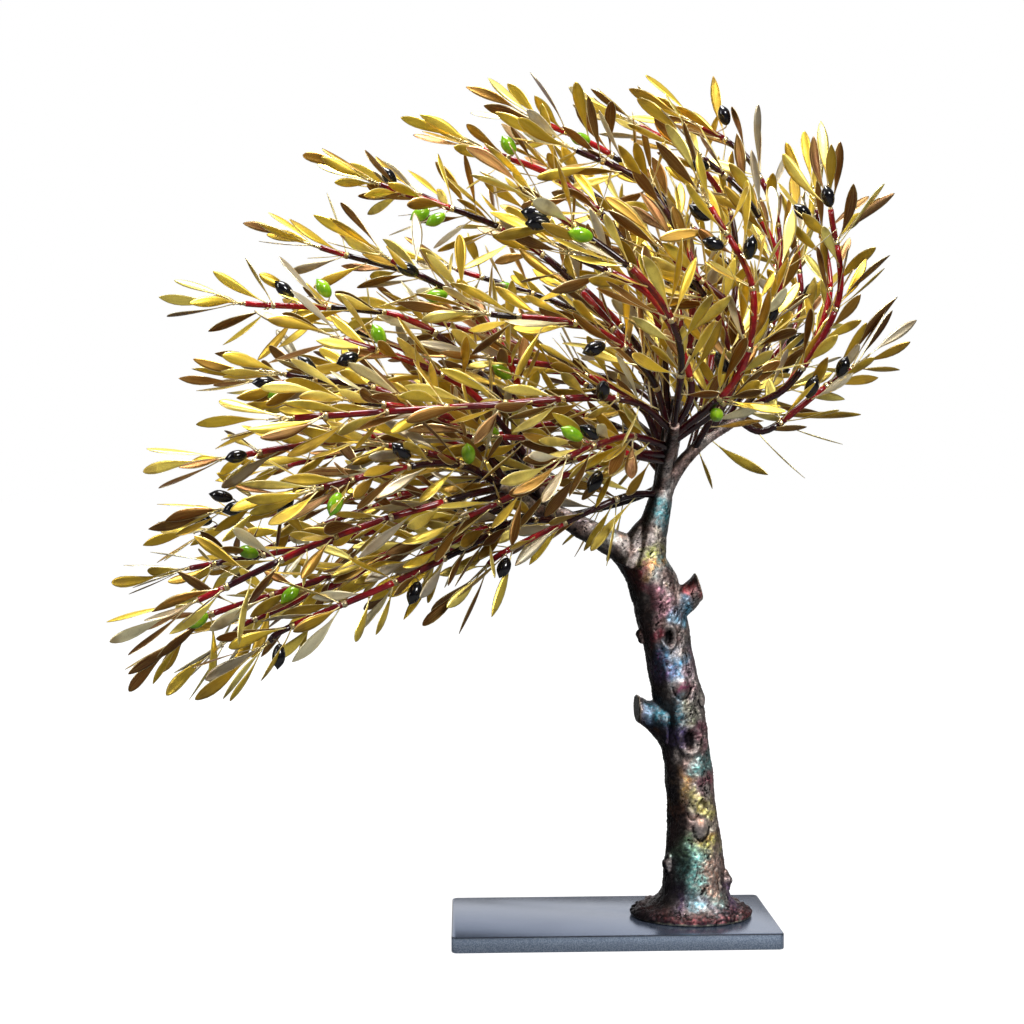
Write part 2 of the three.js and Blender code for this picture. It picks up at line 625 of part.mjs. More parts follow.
function buildSprays() {
  const lines = rods.map(traceRod);
  for (const name of Object.keys(limbs)) {
    for (const { centre, radius } of limbRings(name)) occupy('trunk', centre, radius);
  }
  lines.forEach((line, owner) => {
    for (let distance = 12; distance < line.length; distance += 4) {
      occupy(owner, alongRod(line, distance).place, rodRadius(line, distance));
    }
    const { place, direction } = alongRod(line, line.length + wireLength);
    for (let step = -wireLength; step < leafLength; step += 5) {
      occupy(owner, place.clone().addScaledVector(direction, step), step < 8 ? petioleClearance : leafClearance);
    }
  });
  const solids = lines.map((line) => [buildRod(line)]);
  oliveSpots.filter((_, i) => i % oliveEvery === 0).forEach((spot) => {
    const olive = placeOlive(spot, lines);
    const spheres = [-4, 0, 4].map((step) => {
      return { place: olive.centre.clone().addScaledVector(olive.axis, step), radius: oliveRadius };
    });
    if (!isClear(olive.owner, spheres)) return;
    spheres.forEach(({ place, radius }) => occupy(olive.owner, place, radius));
    solids[olive.owner].push(buildOlive(olive));
  });
  lines.forEach((line, owner) => {
    const pairs = placePairs(owner, line, drawFrom(firstSeed + seedStep * owner));
    solids[owner].push(...pairs.map(buildPair));
  });
  const trunkSpace = buildTrunkSpace();
  return solids.map((pieces) => largest(joined(pieces).subtract(trunkSpace)));
}

const tree = new THREE.Group();
tree.add(meshOf('base_plate', buildPlate(), steel));
tree.add(meshOf('trunk', buildTrunk(), bronze, treeTurn));
screwPlaces().forEach((x, i) => {
  tree.add(meshOf(i === 0 ? 'screw_left' : 'screw_right', buildScrew(x), screwSteel));
});
buildSprays().forEach((solid, i) => {
  tree.add(meshOf(`spray_${String(i + 1).padStart(2, '0')}`, solid, brass, treeTurn));
});

export default tree;
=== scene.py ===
# A windswept olive tree sculpture: a patinated bronze trunk on a steel plate,
# with lacquered rods, brass leaves and glossy olives.
# The dictionaries are in millimetres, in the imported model's frame: +Z up, the plate's front towards -Y.
import math
import bpy
import bmesh
import numpy as np
from mathutils import Matrix, Vector, noise


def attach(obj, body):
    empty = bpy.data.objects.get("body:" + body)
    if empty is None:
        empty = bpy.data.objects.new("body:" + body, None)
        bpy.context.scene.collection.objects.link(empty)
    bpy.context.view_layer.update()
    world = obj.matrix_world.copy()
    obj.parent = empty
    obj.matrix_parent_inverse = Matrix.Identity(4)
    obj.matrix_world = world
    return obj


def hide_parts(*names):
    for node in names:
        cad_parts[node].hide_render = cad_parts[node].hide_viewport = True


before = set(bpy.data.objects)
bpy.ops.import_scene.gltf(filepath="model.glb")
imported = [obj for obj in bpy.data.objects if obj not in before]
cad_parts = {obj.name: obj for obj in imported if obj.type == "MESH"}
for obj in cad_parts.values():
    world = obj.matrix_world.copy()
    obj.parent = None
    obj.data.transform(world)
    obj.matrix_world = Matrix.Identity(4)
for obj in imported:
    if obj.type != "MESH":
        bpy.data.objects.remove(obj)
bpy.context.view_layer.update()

depthAxis = np.array([0.0, 1.0, 0.0])
upAxis = np.array([0.0, 0.0, 1.0])


# Node helpers

def makeGroup(name, inputs, outputs):
    group = bpy.data.node_groups.new(name, "ShaderNodeTree")
    for label, kind, value in inputs:
        socket = group.interface.new_socket(label, in_out="INPUT", socket_type=kind)
        socket.default_value = value
    for label, kind in outputs:
        group.interface.new_socket(label, in_out="OUTPUT", socket_type=kind)
    return group, group.nodes.new("NodeGroupInput"), group.nodes.new("NodeGroupOutput")


def addNode(tree, kind, **settings):
    node = tree.nodes.new(kind)
    for name, value in settings.items():
        setattr(node, name, value)
    return node


def addMath(tree, operation, first, second=None, third=None):
    node = addNode(tree, "ShaderNodeMath", operation=operation)
    for socket, value in zip(node.inputs, (first, second, third)):
        if value is None:
            continue
        if isinstance(value, (int, float)):
            socket.default_value = value
        else:
            tree.links.new(value, socket)
    return node.outputs[0]


def addRange(tree, value, low, high, toLow=0.0, toHigh=1.0):
    node = addNode(tree, "ShaderNodeMapRange", interpolation_type="SMOOTHSTEP")
    tree.links.new(value, node.inputs["Value"])
    for name, number in (("From Min", low), ("From Max", high), ("To Min", toLow), ("To Max", toHigh)):
        node.inputs[name].default_value = number
    return node.outputs["Result"]


def addRamp(tree, value, stops, interpolation="LINEAR"):
    node = addNode(tree, "ShaderNodeValToRGB")
    ramp = node.color_ramp
    ramp.interpolation = interpolation
    while len(ramp.elements) < len(stops):
        ramp.elements.new(1.0)
    for element, (place, colour) in zip(ramp.elements, stops):
        element.position = place
        element.color = (*colour, 1)
    tree.links.new(value, node.inputs["Fac"])
    return node.outputs["Color"]


# Mixes two colours, each an output or three numbers
def addMix(tree, share, first, second, blend="MIX"):
    node = addNode(tree, "ShaderNodeMix", data_type="RGBA", blend_type=blend)
    for socket, value in ((node.inputs[0], share), (node.inputs[6], first), (node.inputs[7], second)):
        if isinstance(value, (int, float)):
            socket.default_value = value
        elif isinstance(value, tuple):
            socket.default_value = (*value, 1)
        else:
            tree.links.new(value, socket)
    return node.outputs[2]


def placeGroup(tree, group, **values):
    node = addNode(tree, "ShaderNodeGroup", node_tree=group)
    for label, value in values.items():
        node.inputs[label.replace("_", " ")].default_value = value
    return node


def startMaterial(name, **sockets):
    material = bpy.data.materials.new(name)
    material.use_nodes = True
    tree = material.node_tree
    shader = tree.nodes["Principled BSDF"]
    for label, value in sockets.items():
        shader.inputs[label.replace("_", " ")].default_value = value
    return material, tree, shader


def scaled(tree, value, factor):
    return addMath(tree, "MULTIPLY", value, factor)


def splitVector(tree, vector):
    axes = addNode(tree, "ShaderNodeSeparateXYZ")
    tree.links.new(vector, axes.inputs[0])
    return [axes.outputs[name] for name in ("X", "Y", "Z")]


# The three painting values of a piece's points
def paintValues(tree):
    return splitVector(tree, addNode(tree, "ShaderNodeAttribute", attribute_name="paint").outputs["Vector"])


# Effects that several finishes share

def makeMottling():
    group, start, end = makeGroup(
        "Mottling",
        [("Scale", "NodeSocketFloat", 100.0), ("Stretch", "NodeSocketVector", (1, 1, 1)),
         ("Detail", "NodeSocketFloat", 4.0), ("Low", "NodeSocketFloat", 0.4), ("High", "NodeSocketFloat", 0.6)],
        [("Mask", "NodeSocketFloat")])
    place = addNode(group, "ShaderNodeTexCoord")
    stretched = addNode(group, "ShaderNodeVectorMath", operation="MULTIPLY")
    patches = addNode(group, "ShaderNodeTexNoise")
    spread = addNode(group, "ShaderNodeMapRange", interpolation_type="SMOOTHSTEP")
    links = group.links
    links.new(place.outputs["Object"], stretched.inputs[0])
    links.new(start.outputs["Stretch"], stretched.inputs[1])
    links.new(stretched.outputs[0], patches.inputs["Vector"])
    links.new(start.outputs["Scale"], patches.inputs["Scale"])
    links.new(start.outputs["Detail"], patches.inputs["Detail"])
    links.new(patches.outputs["Fac"], spread.inputs["Value"])
    links.new(start.outputs["Low"], spread.inputs["From Min"])
    links.new(start.outputs["High"], spread.inputs["From Max"])
    links.new(spread.outputs["Result"], end.inputs["Mask"])
    return group


def makeGrain():
    group, start, end = makeGroup(
        "Grain",
        [("Scale", "NodeSocketFloat", 800.0), ("Strength", "NodeSocketFloat", 0.2),
         ("Depth", "NodeSocketFloat", 0.0003)],
        [("Normal", "NodeSocketVector")])
    place = addNode(group, "ShaderNodeTexCoord")
    pits = addNode(group, "ShaderNodeTexNoise")
    pits.inputs["Detail"].default_value = 5.0
    pits.inputs["Roughness"].default_value = 0.62
    bump = addNode(group, "ShaderNodeBump")
    links = group.links
    links.new(place.outputs["Object"], pits.inputs["Vector"])
    links.new(start.outputs["Scale"], pits.inputs["Scale"])
    links.new(pits.outputs["Fac"], bump.inputs["Height"])
    links.new(start.outputs["Strength"], bump.inputs["Strength"])
    links.new(start.outputs["Depth"], bump.inputs["Distance"])
    links.new(bump.outputs["Normal"], end.inputs["Normal"])
    return group


mottling = makeMottling()
grain = makeGrain()


def mottled(tree, **values):
    return placeGroup(tree, mottling, **values).outputs["Mask"]


# Links a finish's colour and, where they are given, its roughness and the grain of its surface
def dress(tree, shader, colour, rough=None, **pits):
    tree.links.new(colour, shader.inputs["Base Color"])
    if rough:
        tree.links.new(rough, shader.inputs["Roughness"])
    if pits:
        tree.links.new(placeGroup(tree, grain, **pits).outputs["Normal"], shader.inputs["Normal"])


# Mesh helpers

# Points and faces of one piece, with three painting values for each point
class Shape:
    def __init__(self):
        self.points = []
        self.faces = []
        self.values = []
        self.count = 0

    def add(self, points, faces, values=(0.0, 0.0, 0.0)):
        points = np.asarray(points, float).reshape(-1, 3)
        self.points.append(points)
        self.values.append(np.broadcast_to(np.asarray(values, float), points.shape))
        self.faces += [[corner + self.count for corner in face] for face in faces]
        self.count += len(points)


def toMesh(name, shape):
    mesh = bpy.data.meshes.new(name)
    mesh.from_pydata((np.concatenate(shape.points) * 0.001).tolist(), [], shape.faces)
    paint = mesh.attributes.new("paint", "FLOAT_VECTOR", "POINT")
    paint.data.foreach_set("vector", np.concatenate(shape.values).astype(np.float32).ravel())
    mesh.shade_smooth()
    return mesh


def toScene(name, data):
    thing = bpy.data.objects.new(name, data)
    bpy.context.scene.collection.objects.link(thing)
    return thing


def addPiece(name, mesh, material, slotName, replaced=()):
    piece = toScene(name, mesh)
    mesh.materials.append(material)
    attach(piece, "root")
    if replaced:
        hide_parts(*replaced)


# The mesh of an object with its modifiers applied
def applied(thing):
    return bpy.data.meshes.new_from_object(thing.evaluated_get(bpy.context.evaluated_depsgraph_get()))


def unit(vector):
    return vector / np.linalg.norm(vector, axis=-1, keepdims=True)


# The direction of a line at each of its points, and the two axes across it
def lineAxes(line):
    along = unit(np.gradient(line, axis=0))
    side = unit(np.cross(depthAxis, along))
    return along, side, np.cross(along, side)


def tubeFaces(rings, sides):
    faces = []
    for i in range(rings - 1):
        for k in range(sides):
            a = i * sides + k
            b = i * sides + (k + 1) % sides
            faces.append((a, b, b + sides, a + sides))
    faces.append(tuple(range(sides))[::-1])
    faces.append(tuple(range((rings - 1) * sides, rings * sides)))
    return faces


# A closed tube along a line. radii is one number, one for each ring, or one for each point.
# Where a row of facing is not zero, it is the direction that the ring faces instead of the line's own.
def addTube(shape, line, radii, sides, values=(0.0, 0.0, 0.0), facing=None, depthShare=1.0):
    line = np.asarray(line, float)
    _, side, other = lineAxes(line)
    if facing is not None:
        turned = np.abs(facing).sum(axis=1) > 0
        side[turned] = unit(np.cross(depthAxis, facing[turned]))
        other[turned] = np.cross(unit(facing[turned]), side[turned])
    other = other * np.broadcast_to(depthShare, len(line))[:, None]
    angle = np.arange(sides) * 2 * math.pi / sides
    radii = np.asarray(radii, float)
    if radii.ndim < 2:
        radii = np.broadcast_to(radii, len(line))[:, None]
    across = np.cos(angle)[None, :, None] * side[:, None] + np.sin(angle)[None, :, None] * other[:, None]
    points = line[:, None] + np.broadcast_to(radii, (len(line), sides))[:, :, None] * across
    values = np.asarray(values, float)
    if values.ndim == 2:
        values = np.repeat(values, sides, axis=0)
    shape.add(points, tubeFaces(len(line), sides), values)


# A smooth curve through rows of numbers, at t from 0 to len(rows) - 1
def splineAt(rows, t):
    rows = np.asarray(rows, float)
    i = min(int(t), len(rows) - 2)
    u = t - i
    p1, p2 = rows[i], rows[i + 1]
    p0 = rows[i - 1] if i > 0 else 2 * p1 - p2
    p3 = rows[i + 2] if i + 2 < len(rows) else 2 * p2 - p1
    linear = (p2 - p0) * u
    square = (2 * p0 - 5 * p1 + 4 * p2 - p3) * u * u
    cube = (3 * p1 - p0 - 3 * p2 + p3) * u * u * u
    return p1 + 0.5 * (linear + square + cube)


def splineLine(rows, steps):
    return np.array([splineAt(rows, (len(rows) - 1) * i / steps) for i in range(steps + 1)])


# Seeded draws between 0 and 1, the same as in the part's source
def drawFrom(seed):
    state = seed

    def draw():
        nonlocal state
        state = state * 16807 % 2147483647
        return state / 2147483647

    return draw


def between(limits, share):
    return limits[0] + (limits[1] - limits[0]) * share


# Plate and screws

plate = {
    "length": 230, "depth": 104, "height": 11, "corner": 4, "bevel": 0.75, "bevelCut": 0.3, "cornerSteps": 6,
    "screws": (40, 74), "screwRadius": 2.8, "headRadius": 5.3, "headSink": 1.2, "holeSides": 32,
    "sharpAngle": 40,
}


def makePlateSteel():
    material, tree, shader = startMaterial("plateSteel", Metallic=0.75)
    upwards = splitVector(tree, addNode(tree, "ShaderNodeNewGeometry").outputs["Normal"])[2]
    isTop = addRange(tree, upwards, 0.5, 0.95)
    clouds = mottled(tree, Scale=14.0, Detail=3.0, Low=0.3, High=0.7)
    streaks = mottled(tree, Scale=500.0, Stretch=(0.06, 1, 1), Detail=3.0, Low=0.25, High=0.75)
    specks = mottled(tree, Scale=1150.0, Detail=3.0, Low=0.36, High=0.7)
    blue = addMix(tree, clouds, (0.115, 0.15, 0.235), (0.16, 0.2, 0.295))
    blue = addMix(tree, scaled(tree, streaks, 0.08), blue, (0.26, 0.3, 0.35))
    edge = addMix(tree, specks, (0.21, 0.27, 0.38), (0.42, 0.5, 0.62))
    colour = addMix(tree, isTop, edge, blue)
    # the bevel round the top is painted dark, as painted shade along the edge
    sloping = addRange(tree, upwards, 0.99, 0.93)
    bevelShade = addMath(tree, "MULTIPLY", addRange(tree, upwards, 0.1, 0.3), sloping)
    colour = addMix(tree, scaled(tree, bevelShade, 0.93), colour, (0.01, 0.011, 0.014))
    rough = addMath(tree, "MULTIPLY_ADD", isTop, -0.26, addRange(tree, clouds, 0, 1, 0.46, 0.5))
    dress(tree, shader, colour, rough, Scale=1400.0, Strength=0.25, Depth=0.0001)
    return material


def makeScrewSteel():
    material, tree, shader = startMaterial("screwSteel", Metallic=1.0)
    stains = mottled(tree, Scale=300.0, Detail=4.0, Low=0.35, High=0.7)
    colour = addMix(tree, stains, (0.56, 0.56, 0.57), (0.36, 0.36, 0.36))
    dress(tree, shader, colour, addRange(tree, stains, 0, 1, 0.25, 0.45))
    return material


# A rounded bar with small bevels, countersunk from below for its two screws
def buildPlate():
    halfLength, halfDepth = plate["length"] / 2, plate["depth"] / 2
    bevel, height = plate["bevel"], plate["height"]

    def outline(inset):
        radius = plate["corner"] - inset
        points = []
        for turn, (sx, sy) in enumerate(((1, 1), (-1, 1), (-1, -1), (1, -1))):
            for step in range(plate["cornerSteps"] + 1):
                angle = (turn + step / plate["cornerSteps"]) * math.pi / 2
                points.append((sx * (halfLength - plate["corner"]) + radius * math.cos(angle),
                               sy * (halfDepth - plate["corner"]) + radius * math.sin(angle)))
        return points

    slope = bevel * plate["bevelCut"]
    levels = [(0, bevel), (slope, slope), (bevel, 0),
              (height - bevel, 0), (height - slope, slope), (height, bevel)]
    points = [(x, y, z) for z, inset in levels for x, y in outline(inset)]
    around = 4 * (plate["cornerSteps"] + 1)
    bar = bmesh.new()
    corners = [bar.verts.new(Vector(point) * 0.001) for point in points]
    for face in tubeFaces(len(levels), around):
        bar.faces.new([corners[k] for k in face])
    mesh = bpy.data.meshes.new("base_plate_finish")
    bar.to_mesh(mesh)
    bar.free()
    drilled = toScene("drilledPlate", mesh)
    radius, head, sink = plate["screwRadius"], plate["headRadius"], plate["headSink"]
    for x in plate["screws"]:
        line = [(x, 0, z) for z in (-1, sink, sink + head - radius, height + 1)]
        drill = Shape()
        addTube(drill, line, [head, head, radius, radius], plate["holeSides"])
        cutter = toScene("drill", toMesh("drill", drill))
        cut = drilled.modifiers.new("drill", "BOOLEAN")
        cut.operation = "DIFFERENCE"
        cut.object = cutter
        mesh = applied(drilled)
        drilled.modifiers.clear()
        drilled.data = mesh
        bpy.data.objects.remove(cutter)
    bpy.data.objects.remove(drilled)
    mesh.name = "base_plate_finish"
    mesh.materials.clear()
    mesh.shade_smooth()
    mesh.set_sharp_from_angle(angle=math.radians(plate["sharpAngle"]))
    addPiece("base_plate_finish", mesh, makePlateSteel(), "plate_steel", ["base_plate"])


buildPlate()
screwSteel = makeScrewSteel()
for name in ("screw_left", "screw_right"):
    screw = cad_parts[name]
    screw.data.materials.clear()
    screw.data.materials.append(screwSteel)
print("plate and screws done")


# Trunk: the same rings, limbs, stubs and knots as in the part's source, joined and worked up finely

trunk = {
    # from the foot up: x, z, radius
    "rings": [
        [57.5, 11.3, 43], [57.5, 13.6, 43.8], [57.9, 16.6, 40], [58.6, 20, 32.5], [59.6, 24, 27],
        [60.1, 29, 24], [59.7, 38, 22.5], [59.8, 50, 21.1], [59.5, 64, 19.3], [59, 80, 17.9], [57.7, 95, 17.4],
        [56, 111, 17.3], [54.4, 126, 16.8], [52.4, 142, 16.8], [50.3, 157, 17], [47.5, 173, 17.6],
        [44, 189, 17.1], [41, 204, 16.9], [37.8, 219, 17.8], [34.2, 236, 17.8], [29.6, 250, 17.6],
        [23.5, 264, 16.4]],
    "ringSteps": 6, "sides": 72, "barkDepth": 0.7, "barkStart": 20, "barkRise": 8, "forkHeight": 262,
    "footDepthShare": 0.79, "rimHeight": 13.6, "roundHeight": 29, "lowest": 11.25, "voxel": 0.85,
}
# The tree stands turned a little on its plate, round the upright axis of its foot
stance = {"footX": 57, "turn": -2}
toFoot = Matrix.Translation((stance["footX"] * 0.001, 0, 0))
treeTurn = toFoot @ Matrix.Rotation(math.radians(stance["turn"]), 4, "Z") @ toFoot.inverted()
# x, y, z, radius
limbs = {
    "left": [[24, 0, 258, 14], [10, 0, 274, 11.4], [-8, 0, 284, 9], [-27, 1, 294, 7.6], [-42, 3, 304, 6],
             [-52, 5, 322, 4.8], [-60, 6, 342, 4.4], [-66, 6, 362, 4]],
    "leftFront": [[-34, 1, 298, 5], [-52, -12, 303, 4.6], [-66, -28, 314, 4.2], [-80, -46, 322, 3.8]],
    "leftBack": [[-40, 3, 302, 5], [-52, 20, 312, 4.6], [-62, 40, 326, 4.2], [-72, 62, 338, 3.8]],
    "main": [[24, 0, 258, 15.5], [28, 0, 280, 12.4], [30.5, 0, 290, 10.8], [35, 0, 307, 9], [37.5, 0, 322, 7],
             [38, 1, 341, 5.2], [42, 3, 360, 4.7], [49, 5, 382, 4.2]],
    "mainFront": [[37, 0, 318, 6], [38, -16, 336, 5], [40, -34, 350, 4.4], [40, -56, 362, 4]],
    "mainBack": [[37, 0, 320, 6], [44, 18, 338, 5], [50, 40, 354, 4.4], [56, 64, 368, 4]],
    "right": [[36, 0, 310, 7.5], [42, 0, 324, 6.2], [54, -2, 340, 4.8], [68, -3, 354, 4.3], [84, -4, 364, 4.1],
              [100, -4, 376, 3.8]],
    "web": [[13, 0, 262, 12.5], [18, 0, 275, 12], [23, 0, 287, 8.5], [29, 0, 298, 5]],
}
limb = {"steps": 40, "sides": 20}
# Cut stubs: the direction of the cut face, then rings from inside the trunk to the cut: x, y, z, radius
stubs = [
    ([0.96, 0, 0.285], [[46, 0, 234, 12.5], [56.8, -2, 241.2, 10.2], [63.4, -3, 248.9, 8.8]]),
    ([-0.985, -0.17, 0], [[37, 0, 149, 17], [26.5, -2, 155.4, 10.3], [18, -3, 161, 9.2]]),
]
stub = {"rings": 15, "sides": 48, "lip": 0.7, "faceReach": 13}
# x, z, width, height, the side (-1 for the front, 1 for the back) and how deep the hollow is
knots = [
    (40, 213, 9, 16, -1, 3.6), (55, 140, 14, 19, -1, 4), (63, 93, 9, 12, -1, 1.2), (54, 118, 11, 15, 1, 3.4),
]
# Filled knots that stand out like drops: x, z, width, height, how far they stand out
drops = [(49.5, 178, 9, 12, 2.6), (63, 78, 8, 13, 2.6), (57, 88, 5, 7, 1.2), (66, 168, 5, 8, 1.2)]
# x, y, z, radius
bosses = [(39.5, -9, 50, 5.5), (83, -6, 37, 5.5), (21, -4, 214, 5)]
# each boss is three balls: how far they lie inwards and upwards, and their share of its radius
boss = {"balls": ((0.5, 0, 0.8), (2, 4.5, 0.6), (1.5, -4, 0.66)), "rings": 7, "sides": 16}
# Heat patina: x, z, reach, colour. The trunk is dark grey between them.
patinaSpots = [
    (25, 271, 9, (0.46, 0.48, 0.12)), (40, 264, 8, (0.08, 0.36, 0.38)), (33, 260, 7, (0.66, 0.36, 0.1)),
    (19, 256, 10, (0.28, 0.04, 0.05)), (24, 246, 8, (0.3, 0.06, 0.07)), (34, 240, 9, (0.36, 0.16, 0.22)),
    (60, 249, 8, (0.5, 0.06, 0.08)), (50, 235, 9, (0.14, 0.4, 0.62)), (50, 231, 8, (0.1, 0.34, 0.5)),
    (30, 221, 9, (0.2, 0.1, 0.1)), (36, 214, 6, (0.44, 0.08, 0.12)), (40, 195, 10, (0.1, 0.3, 0.5)),
    (32, 192, 8, (0.24, 0.1, 0.3)), (49.5, 177, 6, (0.16, 0.02, 0.07)), (56, 190, 8, (0.34, 0.24, 0.3)),
    (40, 160, 12, (0.05, 0.26, 0.36)), (28, 157, 7, (0.2, 0.3, 0.46)), (26, 148, 6, (0.3, 0.16, 0.22)),
    (58, 158, 9, (0.32, 0.34, 0.24)), (29, 150, 4, (0.62, 0.28, 0.12)), (46, 145, 9, (0.16, 0.12, 0.34)),
    (64, 142, 8, (0.4, 0.16, 0.22)), (55, 117, 8, (0.74, 0.34, 0.12)), (74, 112, 9, (0.42, 0.1, 0.16)),
    (66, 126, 8, (0.16, 0.36, 0.36)), (50, 102, 8, (0.68, 0.38, 0.08)), (63, 95, 7, (0.6, 0.54, 0.2)),
    (48, 86, 8, (0.44, 0.2, 0.1)), (63, 78, 7, (0.56, 0.5, 0.4)), (70, 63, 9, (0.5, 0.46, 0.12)),
    (68, 70, 5, (0.64, 0.34, 0.08)), (55, 58, 9, (0.22, 0.36, 0.2)), (60, 43, 14, (0.2, 0.5, 0.46)),
    (74, 46, 8, (0.5, 0.3, 0.22)), (64, 25, 9, (0.2, 0.4, 0.48)), (48, 25, 10, (0.1, 0.07, 0.16)),
    (80, 26, 8, (0.14, 0.09, 0.2)), (4, 288, 6, (0.54, 0.24, 0.08)), (-7, 281, 9, (0.08, 0.2, 0.22)),
    (-30, 294, 10, (0.16, 0.14, 0.16)), (35, 303, 12, (0.08, 0.28, 0.32)),
    (32, 284, 7, (0.56, 0.52, 0.42)), (38, 50, 5, (0.03, 0.03, 0.035)), (84, 37, 6, (0.05, 0.035, 0.03)),
]
# The bark's noises per millimetre, and how far each stands out
bark = {
    "swirl": (0.05, 0.05, 0.035), "swirlReach": (6.0, 6.0, 14.0),
    "wrinkles": (0.5, 0.5, 0.34), "wrinkleMean": 1.1, "wrinkleDepth": 0.5,
    "fine": (0.8, 0.8, 1.0), "fineDepth": 0.36, "lumps": (0.11, 0.11, 0.08), "lumpDepth": 0.7,
    "limits": (-1.8, 1.5), "thinShares": (0.75, 0.45), "onCuts": 0.15, "underRim": 0.25,
    "rimLumps": (0.2, 0.2, 0.2), "rimDepth": 2.2, "rimLimit": 1.3,
}
# A knot's ring and the groove round it: height, place (1 is the knot's edge), width.
# Its hollow and the dark in it reach from the first share of its size to the second.
knot = {
    "ring": (3.1, 1.0, 0.28), "groove": (0.8, 1.6, 0.25), "hollow": (0.3, 0.8), "dark": (0.5, 0.85),
    "ragged": 0.12,
}
drop = {"falloff": 1.1, "groove": (1, 1.5, 0.25), "grooveDepth": 0.9, "smoothing": 0.9, "shine": 0.82}
# The first colours here are painted light and shade: a dark colour for the shaded side, a lighter grey painted
# towards the side that faces the light, and painted highlights on the maroon of the foot's rim
patina = {
    "paintedShade": (0.05, 0.038, 0.038), "paintedLightGrey": (0.42, 0.375, 0.35), "paintedLightSide": (0.45, -0.9, 0.1),
    "brown": (0.24, 0.1, 0.075), "brownNoise": (0.06, 0.06, 0.045), "grainNoise": (0.42, 0.42, 0.42),
    "driftNoise": (0.045, 0.045, 0.045), "driftShifts": (0, 40, 90), "drift": 14, "frontDepth": 14,
    "depthShare": 0.45, "strength": 1.35, "backNoise": (0.028, 0.028, 0.02), "backShare": 0.7,
    "maroon": (0.03, 0.014, 0.018), "maroonPaintedHighlight": (0.2, 0.03, 0.035),
    "underRim": (0.5, 0.46, 0.34), "underRimTop": 13, "underRimRadius": 41.5, "cut": (0.4, 0.36, 0.2),
}


def barkRelief(angle, height):
    ridges = np.sin(5 * angle + 0.06 * height) + 0.7 * np.sin(9 * angle - 0.17 * height + 1)
    lumps = 0.8 * np.sin(3 * angle + 0.13 * height) + 0.5 * np.sin(0.31 * height + 2 * angle)
    return 0.4 * (ridges + lumps)


def trunkAxisAt(height):
    rings = np.array(trunk["rings"], float)
    return np.interp(height, rings[:, 1], rings[:, 0]), np.interp(height, rings[:, 1], rings[:, 2])


def addStem(shape):
    rows = trunk["rings"]
    steps = (len(rows) - 1) * trunk["ringSteps"]
    fine = splineLine(rows, steps)
    line = np.stack([fine[:, 0], np.zeros(len(fine)), fine[:, 1]], axis=1)
    angle = np.arange(trunk["sides"]) * 2 * math.pi / trunk["sides"]
    relief = barkRelief(angle[None, :], fine[:, 1:2])
    risen = np.clip((fine[:, 1:2] - trunk["barkStart"]) / trunk["barkRise"], 0, 1)
    inFoot = fine[:, 1:2] < trunk["roundHeight"] + 0.5
    depthShare = np.interp(fine[:, 1], (trunk["rimHeight"], trunk["roundHeight"]), (trunk["footDepthShare"], 1))
    radii = fine[:, 2:3] + trunk["barkDepth"] * risen * relief
    addTube(shape, line, radii, trunk["sides"], facing=inFoot * upAxis, depthShare=depthShare)


def addStub(shape, along, rows):
    rows = np.array(rows, float)
    spots = np.linspace(0, len(rows) - 1, stub["rings"])
    fine = np.stack([np.interp(spots, range(len(rows)), column) for column in rows.T], axis=1)
    fine[-2:, 3] += stub["lip"]
    facing = np.tile(unit(np.array(along)), (stub["rings"], 1))
    addTube(shape, fine[:, :3], fine[:, 3], stub["sides"], facing=facing)


def addBoss(shape, x, y, z, full):
    inward = 1 if x < trunkAxisAt(z)[0] else -1
    for dx, dz, share in boss["balls"]:
        radius = full * share
        heights = np.cos(np.linspace(0, math.pi, boss["rings"] + 2)[1:-1]) * radius
        line = np.array([(x + inward * dx, y, z + dz - h) for h in heights])
        addTube(shape, line, np.sqrt(radius ** 2 - heights ** 2), boss["sides"])


# The stem, limbs, stubs and bosses as one skin
def joinTrunk():
    shape = Shape()
    addStem(shape)
    for rows in limbs.values():
        fine = splineLine(rows, limb["steps"])
        addTube(shape, fine[:, :3], fine[:, 3], limb["sides"])
    for along, rows in stubs:
        addStub(shape, along, rows)
    for row in bosses:
        addBoss(shape, *row)
    joint = toScene("joinedTrunk", toMesh("joinedTrunk", shape))
    remesh = joint.modifiers.new("remesh", "REMESH")
    remesh.mode = "VOXEL"
    remesh.voxel_size = trunk["voxel"] * 0.001
    remesh.adaptivity = 0
    smooth = joint.modifiers.new("smooth", "SMOOTH")
    smooth.factor = 0.5
    smooth.iterations = 1
    mesh = applied(joint)
    bpy.data.objects.remove(joint)
    return mesh


def ramped(value, low, high):
    share = np.clip((value - low) / (high - low), 0, 1)
    return share * share * (3 - 2 * share)


def hump(across, height, place, width):
    return height * np.exp(-((across - place) / width) ** 2)


# The distance of points from the middle of an upright ellipse, 1 at its edge
def acrossEllipse(points, x, z, wide, tall):
    return np.hypot((points[:, 0] - x) / (wide / 2), (points[:, 2] - z) / (tall / 2))


# How far a knot's ring stands out and its hollow goes in, and how dark the hollow is
def knotRelief(points, ragged, x, z, wide, tall, side, deep):
    across = acrossEllipse(points, x, z, wide, tall) + knot["ragged"] * ragged
    facing = points[:, 1] * side > 4
    relief = hump(across, *knot["ring"]) - hump(across, *knot["groove"])
    relief -= deep * (1 - ramped(across, *knot["hollow"]))
    dark = (1 - ramped(across, *knot["dark"])) * min(1, deep / 3)
    return np.where(facing, relief, 0), np.where(facing, dark, 0)


# 1 on the cut faces of the stubs
def cutShare(points):
    share = np.zeros(len(points))
    for along, rows in stubs:
        gaps = points - np.array(rows[-1][:3])
        isNear = np.linalg.norm(gaps, axis=1) < stub["faceReach"]
        share = np.maximum(share, ramped(gaps @ unit(np.array(along)), -1.3, -0.4) * isNear)
    return share


